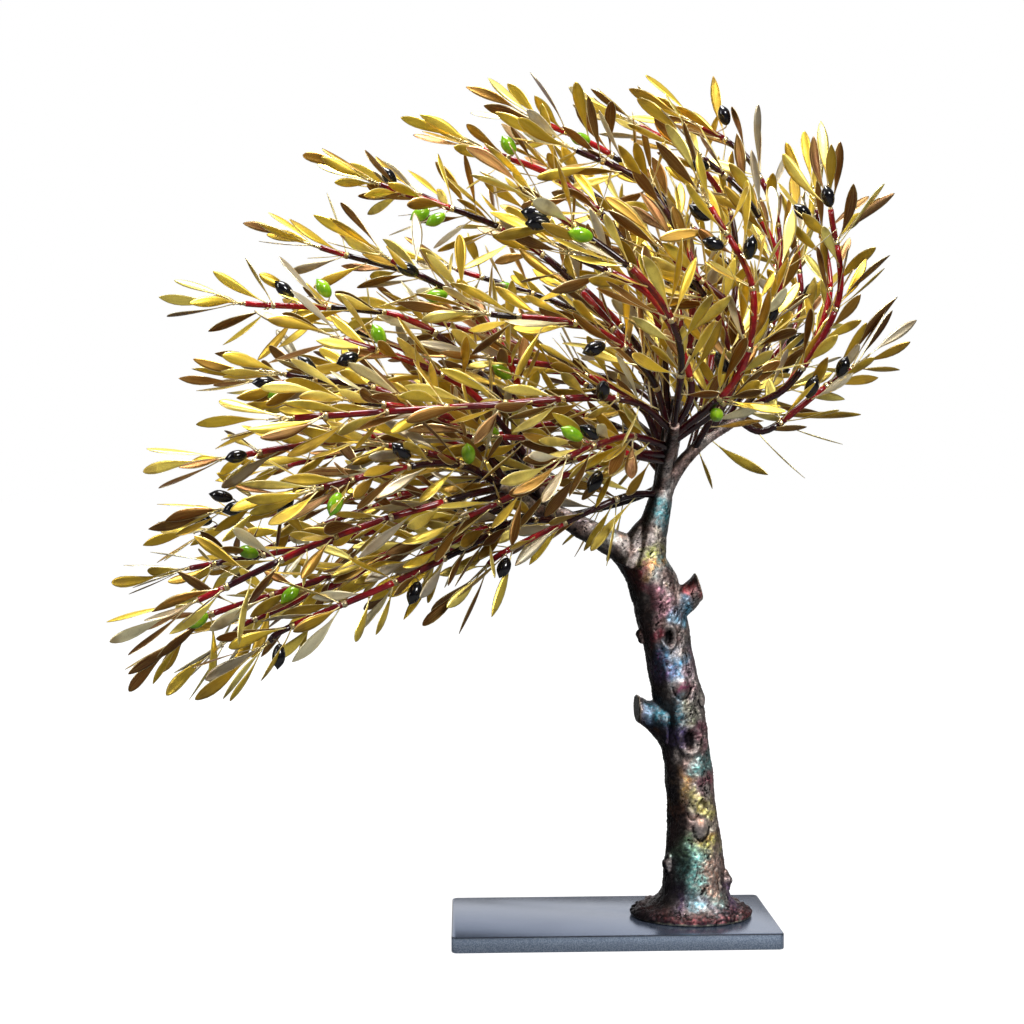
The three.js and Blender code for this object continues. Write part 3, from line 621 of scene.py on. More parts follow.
def noiseAt(points, scale, octaves=3):
    scaledUp = points * np.asarray(scale)
    return np.array([noise.fractal(p, 0.9, 2.1, octaves) for p in scaledUp.tolist()])


def ridgesAt(points, scale):
    scaledUp = points * np.asarray(scale)
    return np.array([noise.ridged_multi_fractal(p, 0.9, 2.1, 4, 1.0, 2.0) for p in scaledUp.tolist()])


# How far the bark stands out at each point, then for the paint: its height, its hollowness and its lumps
def workBark(points):
    isStem = points[:, 2] < trunk["forkHeight"]
    axisX, axisRadius = trunkAxisAt(points[:, 2])
    onStem = ramped(-np.hypot(points[:, 0] - axisX, points[:, 1]) + axisRadius, -6, -1) * isStem
    thick = np.maximum(onStem, np.where(isStem, *bark["thinShares"]))
    swirl = noiseAt(points, bark["swirl"], 2)
    turned = points + swirl[:, None] * np.array(bark["swirlReach"])
    wrinkles = ridgesAt(turned, bark["wrinkles"]) - bark["wrinkleMean"]
    fine = noiseAt(points, bark["fine"])
    lumps = noiseAt(points, bark["lumps"])
    lift = thick * (bark["wrinkleDepth"] * wrinkles + bark["lumpDepth"] * lumps + bark["fineDepth"] * fine)
    lift = np.clip(lift, *bark["limits"]) * (1 - (1 - bark["onCuts"]) * cutShare(points))
    # the rim of the foot is lumpy
    atRim = ramped(points[:, 2], 12.4, 14) * (1 - ramped(points[:, 2], 17, 22))
    rimLumps = bark["rimDepth"] * noiseAt(points, bark["rimLumps"], 2)
    lift += atRim * np.clip(rimLumps, -bark["rimLimit"], bark["rimLimit"])
    lift = np.where(points[:, 2] < 12.2, lift * bark["underRim"], lift)
    height = np.clip(0.5 + 0.24 * wrinkles + 0.3 * fine + 0.25 * lumps, 0, 1)
    hollowness = np.zeros(len(points))
    for row in knots:
        relief, dark = knotRelief(points, fine, *row)
        lift += relief
        hollowness = np.maximum(hollowness, dark)
    for x, z, wide, tall, out in drops:
        across = acrossEllipse(points, x, z, wide, tall)
        inFront = points[:, 1] < 0
        smoothed = np.where(inFront, np.exp(-(across + knot["ragged"] * fine) ** 2 * drop["falloff"]), 0)
        lift = lift * (1 - drop["smoothing"] * smoothed) + out * smoothed
        # below each drop a groove is carved and also painted dark, as painted shade under the drop
        groove = np.where(inFront & (points[:, 2] < z), hump(across, *drop["groove"]), 0)
        lift -= drop["grooveDepth"] * groove
        height = (height + (drop["shine"] - height) * 0.85 * smoothed) * (1 - 0.7 * groove)
    return lift, height, hollowness, lumps


def buildTrunk(material):
    mesh = joinTrunk()
    count = len(mesh.vertices)
    points = np.zeros(count * 3)
    normals = np.zeros(count * 3)
    mesh.vertices.foreach_get("co", points)
    mesh.vertex_normals.foreach_get("vector", normals)
    points = points.reshape(-1, 3) * 1000
    normals = normals.reshape(-1, 3)
    lift, height, hollowness, lumps = workBark(points)
    moved = points + normals * lift[:, None]
    moved[:, 2] = np.maximum(moved[:, 2], trunk["lowest"])
    mesh.vertices.foreach_set("co", (moved * 0.001).ravel())
    # painted shade: nearly black on the left side, away from the light
    paintedShade = ramped(-normals[:, 0] - 0.1 * normals[:, 1] + 0.12 * lumps, 0.1, 0.62)
    paint = mesh.attributes.new("paint", "FLOAT_VECTOR", "POINT")
    values = np.stack([height, hollowness, paintedShade], axis=1)
    paint.data.foreach_set("vector", values.astype(np.float32).ravel())
    colours = mesh.color_attributes.new("patina", "FLOAT_COLOR", "POINT")
    colours.data.foreach_set("color", patinaColours(points, normals).astype(np.float32).ravel())
    mesh.transform(treeTurn)
    mesh.shade_smooth()
    mesh.materials.clear()
    addPiece("trunk_casting", mesh, material, "patina_bronze", ["trunk"])
    print("trunk", count, "points")


def tint(colours, colour, share):
    colours += (np.asarray(colour) - colours) * share[:, None]


# The heat colours, in soft-edged patches that drift round the trunk, over painted light and shade
def patinaColours(points, normals):
    # painted light and shade: dark on the shaded side, lighter grey on the side that faces the front right,
    # where the light falls
    lit = ramped(normals @ unit(np.array(patina["paintedLightSide"])), -0.1, 0.95)
    colours = np.array(patina["paintedShade"]) + lit[:, None] * np.array(patina["paintedLightGrey"])
    tint(colours, patina["brown"], 0.5 * ramped(noiseAt(points + 200, patina["brownNoise"]), -0.15, 0.3))
    # the colours lie in fine grains, not in even fields
    grains = ramped(noiseAt(points, patina["grainNoise"]), -0.3, 0.32)
    drift = np.stack([noiseAt(points + shift, patina["driftNoise"]) for shift in patina["driftShifts"]], axis=1)
    warped = points + drift * patina["drift"]
    for i, (x, z, reach, colour) in enumerate(patinaSpots):
        depth = np.abs(warped[:, 1] + patina["frontDepth"]) * patina["depthShare"]
        gap = np.sqrt((warped[:, 0] - x) ** 2 + (warped[:, 2] - z) ** 2 + depth ** 2)
        share = (1 - ramped(gap, reach * 0.3, reach * 1.6)) * (0.48 + 0.5 * (grains if i % 2 else 1 - grains))
        tint(colours, np.minimum(np.array(colour) * patina["strength"], 0.9), share)
    # the back and the limbs have their own drifting patches
    wild = noiseAt(points, patina["backNoise"])
    away = ramped(points[:, 1], -4, 10)
    for share, colour in ((ramped(wild, 0.22, 0.5), (0.1, 0.3, 0.36)),
                          (1 - ramped(wild, -0.6, -0.25), (0.36, 0.13, 0.26))):
        tint(colours, colour, patina["backShare"] * share * away)
    atFoot = 1 - ramped(points[:, 2] + 4 * drift[:, 0], 14, 24)
    # the maroon of the foot's rim gets painted highlights on the side that faces the front right
    maroon = np.array(patina["maroon"]) + (grains * lit)[:, None] * np.array(patina["maroonPaintedHighlight"])
    tint(colours, maroon, 0.88 * atFoot)
    fromFoot = np.hypot(points[:, 0] - trunk["rings"][0][0], points[:, 1] / trunk["footDepthShare"])
    colours[(points[:, 2] < patina["underRimTop"]) & (fromFoot > patina["underRimRadius"])] = patina["underRim"]
    tint(colours, patina["cut"], 0.8 * cutShare(points) * (0.4 + 0.6 * grains))
    return np.concatenate([colours, np.ones((len(points), 1))], axis=1)


def makePatinaBronze():
    material, tree, shader = startMaterial("patinaBronze", Metallic=0.9)
    heat = addNode(tree, "ShaderNodeAttribute", attribute_name="patina")
    height, hollowness, paintedShade = paintValues(tree)
    blotches = mottled(tree, Scale=320.0, Detail=6.0, Low=0.42, High=0.6)
    smoke = mottled(tree, Scale=45.0, Detail=5.0, Low=0.4, High=0.62)
    specks = mottled(tree, Scale=640.0, Detail=3.0, Low=0.46, High=0.62)
    dark = addMix(tree, scaled(tree, blotches, 0.55), heat.outputs["Color"], (0.03, 0.026, 0.03))
    dark = addMix(tree, scaled(tree, smoke, 0.3), dark, (0.02, 0.017, 0.02))
    # the peaks are rubbed bright and the creases are black; the left side is painted black as painted shade
    shine = addMix(tree, 1.0, dark, (2.9, 2.8, 2.7), "MULTIPLY")
    worn = addMix(tree, scaled(tree, addRange(tree, height, 0.5, 0.9), 0.7), dark, shine)
    worn = addMix(tree, scaled(tree, specks, 0.6), worn, shine)
    deep = addMath(tree, "MAXIMUM", addRange(tree, height, 0.5, 0.16), hollowness)
    deep = addMath(tree, "MAXIMUM", deep, scaled(tree, paintedShade, 0.96))
    colour = addMix(tree, scaled(tree, deep, 0.97), worn, (0.004, 0.003, 0.004))
    rough = addRange(tree, blotches, 0, 1, 0.32, 0.46)
    dress(tree, shader, colour, rough, Scale=800.0, Strength=0.9, Depth=0.0006)
    return material


buildTrunk(makePatinaBronze())


# Sprays: the rods, leaves and olives of the part's source, in finer form and with more leaves

# The crown was set out as sighted from this point, in front of its middle plane
eye = {"x": -67, "z": 321, "distance": 1113}

# limb, share along it, then the bends and the tip as sighted from the front: x, z, depth
rods = [
    ("right", 1, [132, 397, -12], [164, 455, -18], [158, 518, -22]),
    ("right", 0.89, [130, 396, 19], [157, 455, 26], [148, 518, 36]),
    ("right", 0.7, [112, 420, 26], [121, 500, 42], [104, 547, 47], [84, 567, 48], [66, 577, 48]),
    ("right", 0.6, [100, 415, -22], [122, 470, -30], [100, 524, -35], [67, 555, -36]),
    ("mainFront", 0.76, [92, 400, -74], [102, 462, -88], [72, 520, -92]),
    ("mainFront", 0.66, [84, 385, -54], [92, 440, -66], [46, 483, -72]),
    ("right", 0.84, [116, 403, 57], [136, 445, 88], [134, 492, 102]),
    ("mainBack", 0.79, [96, 395, 98], [128, 432, 128], [118, 480, 146]),
    ("main", 1, [66, 445, 8], [42, 520, 6], [0, 558, 8], [-48, 581, 10]),
    ("mainBack", 0.93, [84, 430, 78], [88, 508, 88], [58, 556, 88], [21, 578, 84]),
    ("main", 0.92, [58, 430, -20], [54, 488, -34], [24, 537, -40], [-24, 561, -42]),
    ("mainFront", 1, [50, 420, -112], [24, 468, -126], [-46, 521, -134]),
    ("mainBack", 0.64, [52, 420, 56], [34, 490, 64], [-32, 544, 62]),
    ("main", 0.84, [36, 430, -6], [8, 498, -14], [-37, 540, -18], [-91, 562, -20]),
    ("mainFront", 0.84, [58, 394, -72], [30, 455, -100], [-25, 485, -110]),
    ("mainFront", 0.68, [28, 400, -62], [-14, 434, -78], [-86, 444, -90]),
    ("mainFront", 0.9, [6, 383, -82], [-100, 378, -112], [-227, 370, -128]),
    ("mainFront", 0.48, [14, 342, -44], [-48, 323, -58], [-102, 299, -72]),
    ("mainFront", 0.6, [17, 356, -56], [-4, 352, -84], [-30, 342, -108]),
    ("main", 0.5, [8, 312, -20], [-50, 286, -34], [-80, 271, -40], [-88, 264, -42]),
    ("leftFront", 0.36, [-96, 281, -50], [-150, 254, -68], [-232, 219, -84], [-246, 209, -86]),
    ("left", 0.5, [-120, 284, -14], [-210, 245, -20], [-262, 222, -24], [-274, 212, -24]),
    ("leftFront", 0.9, [-110, 312, -66], [-200, 284, -94], [-297, 239, -112]),
    ("leftFront", 0.58, [-112, 291, -44], [-205, 255, -50], [-290, 228, -48], [-304, 216, -46]),
    ("leftFront", 1, [-108, 336, -74], [-150, 334, -100], [-207, 320, -126]),
    ("left", 0.74, [-118, 354, -8], [-190, 355, -22], [-272, 342, -34]),
    ("left", 0.6, [-112, 334, 6], [-195, 324, 4], [-273, 305, 2]),
    ("leftBack", 0.87, [-130, 318, 86], [-205, 310, 100], [-285, 291, 112]),
    ("leftBack", 0.55, [-125, 300, 48], [-215, 278, 54], [-303, 262, 58]),
    ("left", 0.86, [-98, 386, -30], [-138, 408, -52], [-192, 426, -66]),
    ("left", 0.81, [-112, 380, 20], [-170, 392, 30], [-252, 396, 36]),
    ("leftFront", 0.8, [-100, 355, -44], [-160, 388, -62], [-233, 401, -74]),
    ("left", 1, [-92, 400, 6], [-150, 442, -2], [-262, 452, -6]),
    ("left", 0.9, [-76, 405, 24], [-118, 462, 38], [-208, 492, 44]),
    ("left", 0.93, [-69, 401, -25], [-98, 448, -28], [-157, 483, -34]),
    ("main", 0.76, [16, 415, 22], [-62, 496, 30], [-165, 537, 34]),
    ("mainBack", 0.56, [20, 420, 52], [-56, 492, 70], [-135, 529, 78]),
    ("mainBack", 1, [0, 398, 112], [-100, 402, 140], [-212, 384, 154]),
    ("mainBack", 0.86, [28, 412, 100], [-34, 450, 122], [-110, 476, 134]),
    ("mainBack", 0.72, [70, 412, 72], [52, 462, 104], [-6, 512, 124]),
    ("main", 0.56, [6, 308, 30], [-85, 285, 54], [-205, 246, 78]),
    ("leftBack", 0.93, [-112, 322, 104], [-180, 303, 132], [-258, 272, 148]),
    ("leftBack", 0.75, [-108, 354, 74], [-165, 350, 94], [-232, 336, 106]),
    ("leftBack", 0.63, [-96, 374, 56], [-136, 412, 72], [-186, 434, 84]),
    ("mainBack", 0.38, [12, 345, 54], [-45, 335, 82], [-112, 316, 104]),
    ("left", 0.68, [-84, 356, -40], [-130, 374, -84], [-184, 382, -106]),
    ("right", 0.87, [112, 360, -7], [150, 388, -3], [172, 404, 0]),
]
nodesInSource = len(rods)
# Rods that only this scene has
rods += [
    ("right", 0.5, [104, 400, 42], [104, 450, 60], [60, 505, 72]),
    ("leftBack", 1, [-90, 350, 90], [-125, 388, 122], [-178, 402, 144]),
    ("mainBack", 0.48, [-6, 385, 60], [-62, 420, 74], [-130, 440, 84]),
    ("main", 0.7, [20, 380, -8], [-30, 404, -20], [-84, 412, -26]),
    ("main", 0.62, [16, 350, 12], [-30, 366, 20], [-88, 356, 28]),
    ("mainFront", 0.36, [18, 342, -44], [-24, 352, -58], [-80, 356, -66]),
    ("left", 0.42, [-54, 296, -22], [-96, 288, -44], [-140, 268, -54]),
    ("left", 0.64, [-86, 332, 26], [-126, 346, 42], [-170, 352, 52]),
    ("main", 0.88, [32, 420, 30], [4, 470, 44], [-44, 506, 52]),
    ("right", 0.42, [66, 380, 28], [72, 430, 44], [40, 470, 58]),
    ("right", 0.48, [80, 386, -38], [82, 430, -60], [56, 474, -68]),
    ("mainBack", 0.2, [26, 352, 40], [-20, 372, 62], [-80, 384, 72]),
    ("leftFront", 0.5, [-84, 326, -46], [-122, 342, -66], [-160, 350, -80]),
]
# Single long leaves that only this scene has: limb or rod number, share along it, tip and roll
looseLeaves = [
    ("right", 0.62, (113, 328, -10), 0.6), ("right", 0.52, (73, 318, -8), 1.3),
    ("right", 0.95, (179, 371, -6), 1.2), (0, 0.86, (203, 529, -20), 0.5), (0, 0.6, (200, 485, -20), 0.9),
    (0, 0.84, (196, 536, -24), 1.4), (46, 0.9, (205, 455, 2), 0.4), (6, 0.9, (150, 560, 96), 0.3),
]
rod = {
    "sides": 12, "lineSteps": 60, "rootRadius": 2.6, "tipRadius": 2.1, "wireLength": 16, "wireRadius": 0.8,
    "traceFrom": 12.0, "traceStep": 4, "nodeGap": 37, "pairEvery": 2, "bareShare": 0.14,
    "wirePairShare": 0.4, "ringGap": 4, "touchGap": 0.3, "limbTraceGap": 17,
}
leaf = {
    "length": 46, "arch": 0.1, "maxRoll": 0.7, "rodSpread": (0.45, 1.15), "wireSpread": (0.3, 0.5),
    "lengths": (0.8, 1.15), "clearance": 4.3, "petioleClearance": 1.5, "clearTurn": 0.4, "clearTries": 8,
    "goldenTurn": math.radians(137.5), "firstSeed": 1000, "seedStep": 77,
}
olive = {
    "every": 3, "length": 17, "radius": 4.8, "reach": 13, "forward": 0.7, "swing": 0.8, "lean": 0.3,
    "depthPenalty": 0.05, "fromShare": 0.3, "step": 6, "spheres": (-4, 0, 4), "closeness": 0.8,
    "rings": 15, "sides": 18, "lengths": (0.92, 1.06), "widths": (0.92, 1.04), "facets": 0.008, "neck": 0.93,
    "stalkRadius": 0.5, "knobRadius": 1.1,
}
# The scene's own leaves stay between these depths
crownDepths = (-174, 184)
# As sighted from the front: x, z. The first ones are black, the others green.
oliveSpots = [
    (84, 592), (62, 548), (154, 526), (134, 515), (63, 515), (71, 492), (99, 490), (-55, 514), (-55, 505),
    (-158, 541), (-145, 475), (58, 467), (-233, 461), (142, 459), (114, 443), (70, 436), (132, 424),
    (-13, 417), (-188, 411), (-217, 407), (78, 409), (165, 405), (120, 401), (-248, 395), (143, 391),
    (0, 391), (-16, 359), (-150, 346), (-268, 342), (-12, 323), (-287, 320), (-101, 319), (-233, 307),
    (-270, 305), (-293, 297), (-77, 262), (-141, 244), (-238, 199), (-22, 567), (-73, 563), (-137, 511),
    (-127, 503), (-22, 499), (-76, 462), (-205, 462), (-125, 456), (-166, 429), (-78, 402), (-238, 388),
    (68, 360), (-29, 359), (-85, 358), (-102, 344), (-197, 307), (-260, 274), (-230, 243), (-296, 225),
]
blackOlives = 38


def sighted(spot):
    x, z, depth = spot
    scale = 1 + depth / eye["distance"]
    return [eye["x"] + (x - eye["x"]) * scale, depth, eye["z"] + (z - eye["z"]) * scale]


def onLimb(name, share):
    return splineAt(limbs[name], (len(limbs[name]) - 1) * share)[:3]


# Each rod's line: points with the distance from its root, then the straight terminal wire
def traceRod(row):
    rows = [onLimb(*row[:2]), *[sighted(spot) for spot in row[2:]]]
    points = splineLine(rows, rod["lineSteps"])
    end = points[-1] + unit(points[-1] - points[-2]) * rod["wireLength"]
    points = np.concatenate([points, [end]])
    gaps = np.linalg.norm(np.diff(points, axis=0), axis=1)
    distances = np.concatenate([[0], np.cumsum(gaps)])
    return {"points": points, "distances": distances, "length": distances[-2]}


def alongRod(line, distance):
    distances, points = line["distances"], line["points"]
    i = int(np.searchsorted(distances, distance, side="right"))
    if i < 1 or i >= len(points):
        i = len(points) - 1
    share = (distance - distances[i - 1]) / (distances[i] - distances[i - 1])
    step = points[i] - points[i - 1]
    return points[i - 1] + step * share, unit(step)


def rodRadius(line, distance):
    if distance > line["length"] + 1:
        return rod["wireRadius"]
    return rod["rootRadius"] + (rod["tipRadius"] - rod["rootRadius"]) * (distance / line["length"])


def placesOn(line, spots):
    return np.array([alongRod(line, spot)[0] for spot in spots])


def radiiOn(line, spots):
    return np.array([rodRadius(line, spot) for spot in spots])


def leafPose(line, distance, azimuth, spread, roll, length):
    place, direction = alongRod(line, distance)
    side = unit(np.cross(direction, depthAxis))
    other = np.cross(direction, side)
    outward = side * math.cos(azimuth) + other * math.sin(azimuth)
    axis = direction * math.cos(spread) + outward * math.sin(spread)
    bend = unit(direction - axis * direction.dot(axis))
    flat = np.cross(axis, bend)
    width = flat * math.cos(roll) + bend * math.sin(roll)
    return {"place": place, "axis": axis, "bend": bend, "width": width, "length": length}


def leafPoint(pose, share):
    straight = pose["place"] + pose["axis"] * pose["length"] * share
    return straight + pose["bend"] * pose["length"] * leaf["arch"] * share * share


# Spheres that stand for everything placed so far: owner, x, y, z, radius
occupied = np.zeros((0, 5))


def occupy(owner, spheres):
    global occupied
    rows = [[owner, *place, radius] for place, radius in spheres]
    occupied = np.concatenate([occupied, np.array(rows)])


def isClear(owner, spheres, ease=1.0):
    others = occupied[occupied[:, 0] != owner]
    places = np.array([place for place, _ in spheres])
    radii = np.array([radius for _, radius in spheres])
    gaps = ((places[:, None] - others[None, :, 1:4]) ** 2).sum(axis=2)
    reach = (radii[:, None] + others[None, :, 4]) * ease + rod["touchGap"]
    return bool((gaps > reach * reach).all())


def isInCrown(pose):
    depth = (treeTurn @ Vector(leafPoint(pose, 1) * 0.001))[1] * 1000
    return crownDepths[0] < depth < crownDepths[1]


def leafSpheres(pose):
    shares = (0.25, 0.4, 0.5, 0.6, 0.7, 0.8, 0.9, 1)
    thin = leaf["petioleClearance"]
    radii = [thin if share < 0.3 or share > 0.95 else leaf["clearance"] for share in shares]
    return [(leafPoint(pose, share), radius) for share, radius in zip(shares, radii)]


# The leaf pairs of one rod, as in the part's source: each turns round its rod until it is clear,
# or is left out. The pairs at the other nodes are kept in mind for later.
def placePairs(owner, line, draw):
    bare = line["length"] * rod["bareShare"]
    count = int((line["length"] - bare) / rod["nodeGap"])
    stops = [bare + (i + 0.5) * (line["length"] - bare) / count for i in range(count)]
    stops.append(line["length"] + rod["wireLength"] * rod["wirePairShare"])
    placed, later = [], []
    for i, distance in enumerate(stops):
        onWire = i == count
        azimuth = i * leaf["goldenTurn"] + draw()
        sides = []
        for opposite in (0, math.pi):
            spread = between(leaf["wireSpread"] if onWire else leaf["rodSpread"], draw())
            roll = between((-leaf["maxRoll"], leaf["maxRoll"]), draw())
            length = leaf["length"] * between(leaf["lengths"], draw())
            sides.append((opposite, spread, roll, length))
        if not onWire and (count - 1 - i) % rod["pairEvery"] != 0:
            later.append((distance, azimuth, sides))
            continue
        for turn in range(leaf["clearTries"]):
            turned = turn * leaf["clearTurn"]
            pair = [leafPose(line, distance, azimuth + opposite + turned, spread, roll, length)
                    for opposite, spread, roll, length in sides]
            spheres = leafSpheres(pair[0]) + leafSpheres(pair[1])
            if isClear(owner, spheres):
                occupy(owner, spheres)
                placed += pair
                break
    return placed, later, stops


def placeOlive(spot, lines):
    x, z = spot
    best = None
    for owner, line in enumerate(lines):
        distance = line["length"] * olive["fromShare"]
        while distance < line["length"]:
            place, direction = alongRod(line, distance)
            scale = 1 + place[1] / eye["distance"]
            dx = eye["x"] + (x - eye["x"]) * scale - place[0]
            dz = eye["z"] + (z - eye["z"]) * scale - place[2]
            gap = math.hypot(dx, dz) + olive["depthPenalty"] * place[1]
            if best is None or gap < best[0]:
                best = (gap, owner, place, direction, dx, dz)
            distance += olive["step"]
    _, owner, place, direction, dx, dz = best
    shrink = min(1, olive["reach"] / math.hypot(dx, dz))
    centre = place + np.array([dx * shrink, -olive["reach"] * olive["forward"], dz * shrink])
    axis = unit((unit(centre - place) + direction * olive["swing"]) * np.array([1, olive["lean"], 1]))
    return {"owner": owner, "root": place, "centre": centre, "axis": axis}


# Finer leaves: half widths at shares of the length, for a pointed and for a blunt leaf, and thicknesses
blade = {
    "shares": (0, 0.1, 0.2, 0.3, 0.4, 0.52, 0.64, 0.75, 0.85, 0.93, 0.975, 1),
    "pointed": (0.5, 0.45, 0.5, 1.2, 2.4, 3.6, 4.1, 3.9, 3.0, 1.7, 0.8, 0.15),
    "blunt": (0.5, 0.45, 0.5, 0.9, 1.8, 3.0, 4.0, 4.5, 4.3, 3.2, 2.0, 0.5),
    "across": (-1, -0.52, 0, 0.52, 1),
    "thickAt": (0, 0.2, 0.32, 1), "thickness": (0.9, 0.8, 0.5, 0.4), "edgeShare": 0.45,
    "cup": 0.16, "cupShares": (0.3, 1.6), "bluntPower": 1.5,
    "widthShares": (0.84, 1.08), "twist": (-0.5, 0.5), "sway": (-0.06, 0.06),
}


def addLeaf(shape, pose, draw):
    shares = np.array(blade["shares"])
    blunt = draw() ** blade["bluntPower"]
    twist = between(blade["twist"], draw())
    sway = between(blade["sway"], draw())
    tone = draw()
    cup = blade["cup"] * between(blade["cupShares"], draw())
    half = np.array(blade["pointed"]) * (1 - blunt) + np.array(blade["blunt"]) * blunt
    half = half * between(blade["widthShares"], draw())
    length = pose["length"]
    straight = pose["place"] + pose["axis"] * (length * shares)[:, None]
    bent = pose["bend"] * (length * leaf["arch"] * shares ** 2)[:, None]
    swayed = pose["width"] * (length * sway * np.sin(shares * math.pi))[:, None]
    centres = straight + bent + swayed
    along = unit(np.gradient(centres, axis=0))
    angle = (twist * shares)[:, None]
    width = unit(pose["width"] - along * (along @ pose["width"])[:, None])
    width = width * np.cos(angle) + np.cross(along, width) * np.sin(angle)
    face = np.cross(width, along)
    thick = np.interp(shares, blade["thickAt"], blade["thickness"]) / 2
    across = np.array(blade["across"])
    points, values = [], []
    for side in (1, -1):
        for a in across[::side]:
            edge = blade["edgeShare"] if abs(a) == 1 else 1.0
            offset = half * cup * a * a + side * thick * edge
            points.append(centres + width * (half * a)[:, None] + face * offset[:, None])
            values.append(np.stack([shares, np.full(len(shares), a), np.full(len(shares), tone)], axis=1))
    around = 2 * len(across)
    points = np.array(points).transpose(1, 0, 2)
    values = np.array(values).transpose(1, 0, 2)
    faces = [face[::-1] for face in tubeFaces(len(shares), around)]
    shape.add(points, faces, values.reshape(-1, 3))


# A ball whose points can be pushed about: unit points and faces
def ballForm(rings, sides):
    angles = np.linspace(0, math.pi, rings + 2)[1:-1]
    turns = np.arange(sides) * 2 * math.pi / sides
    points = [[math.sin(a) * math.cos(t), math.sin(a) * math.sin(t), -math.cos(a)]
              for a in angles for t in turns]
    faces = tubeFaces(rings, sides)[:-2]
    low, high = len(points), len(points) + 1
    points += [[0, 0, -1], [0, 0, 1]]
    top = (rings - 1) * sides
    for k in range(sides):
        faces.append((low, (k + 1) % sides, k))
        faces.append((top + k, top + (k + 1) % sides, high))
    return np.array(points), faces


# A small drop of solder
blob = {"rings": 5, "sides": 8, "squash": (0.75, 1.25), "bumps": 0.12}
blobForm = ballForm(blob["rings"], blob["sides"])


def addBlob(shape, place, radius, draw):
    points, faces = blobForm
    squash = np.array([between(blob["squash"], draw()) for _ in range(3)])
    bumps = 1 + blob["bumps"] * np.sin(points @ np.array([5.0, 3.0, 4.0]) + 6 * draw())
    shape.add(place + points * bumps[:, None] * squash * radius, faces, (draw(), 0, 0))


# The lacquer's share of red stretches, its tones from 0 (black) to 1 (red) at a stretch's two ends,
# and its bare gaps
lacquer = {
    "firstRed": 0.3, "red": 0.66,
    "redTones": ((0.55, 1.0), (0.6, 1.0)), "blackTones": ((0, 0.3), (0, 0.45)),
    "gap": 1.6, "lip": 0.3, "lipLength": 0.25,
}
bead = {
    "reach": 2.1, "swell": (-0.6, -0.1, 0.15, 0.25, 0.1, -0.1, -0.6), "uneven": 0.3, "lumps": 0.09, "sides": 10,
}
# The wires at a rod's end: share of the wire's length, share of its radius, how much each closes in.
# Then the places and radii of the solder round them.
tip = {
    "wires": ((1, 0.85, 0.8), (0.55, 0.75, 0.2), (0.3, 0.7, 0.2)), "offset": 0.75, "turn": 2.1, "sides": 7,
    "joint": ((-1, 1.7), (1.2, 1.75), (2.6, 1.2)), "jointSides": 9,
}


# A rod with its lacquer in stretches from node to node, each running from one tone to another
def addRod(shape, solder, line, stops, draw):
    nodeStops = [stop for stop in stops if stop < line["length"]]
    cuts = [0.0, *nodeStops, line["length"]]
    for start, end in zip(cuts, cuts[1:]):
        isRed = draw() < (lacquer["red"] if start > 0 else lacquer["firstRed"])
        tones = [between(limits, draw()) for limits in lacquer["redTones" if isRed else "blackTones"]]
        low = start + (lacquer["gap"] if start > 0 else 0)
        high = end - (lacquer["gap"] if end < line["length"] else 0)
        steps = max(3, int((high - low) / rod["ringGap"]) + 1)
        inner, lip = np.linspace(low, high, steps)[1:-1], lacquer["lipLength"]
        spots = np.array([low, low + lip, *inner, high - lip, high])
        radii = radiiOn(line, spots)
        radii[0] -= lacquer["lip"]
        radii[-1] -= lacquer["lip"]
        share = (spots - low) / (high - low)
        tone = tones[0] + (tones[1] - tones[0]) * share ** 1.5
        values = np.stack([tone, share, np.full(len(spots), draw())], axis=1)
        addTube(shape, placesOn(line, spots), radii, rod["sides"], values)
    for stop in nodeStops:
        spots = np.linspace(stop - bead["reach"], stop + bead["reach"], len(bead["swell"]))
        swell = np.array(bead["swell"]) + bead["uneven"] * draw()
        lumps = 1 + bead["lumps"] * np.sin(np.arange(bead["sides"]) * 2.1 + 7 * draw())
        radii = (radiiOn(line, spots) + swell)[:, None] * lumps[None, :]
        addTube(solder, placesOn(line, spots), radii, bead["sides"], (draw(), 0, 0))


# The wires that go on from a rod's end, and the solder that holds them
def addTip(solder, line, draw):
    end, direction = alongRod(line, line["length"] - 0.5)
    _, side, other = lineAxes(np.array([end, end + direction]))
    for k, (lengthShare, radiusShare, closing) in enumerate(tip["wires"]):
        angle = k * tip["turn"] + draw()
        offset = (side[0] * math.cos(angle) + other[0] * math.sin(angle)) * tip["offset"]
        reach = rod["wireLength"] * lengthShare + 1
        spots = np.linspace(-2, reach, 5)
        places = np.array([end + direction * s + offset * (1 - closing * max(s, 0) / reach) for s in spots])
        addTube(solder, places, rod["wireRadius"] * radiusShare, tip["sides"], (0.4 + 0.5 * draw(), 0, 0))
    steps, radii = zip(*tip["joint"])
    addTube(solder, [end + direction * step for step in steps], radii, tip["jointSides"], (draw(), 0, 0))


def bezier(handles, steps):
    a, b, c, d = handles
    t = np.linspace(0, 1, steps)[:, None]
    return (1 - t) ** 3 * a + 3 * t * (1 - t) ** 2 * b + 3 * t * t * (1 - t) * c + t ** 3 * d


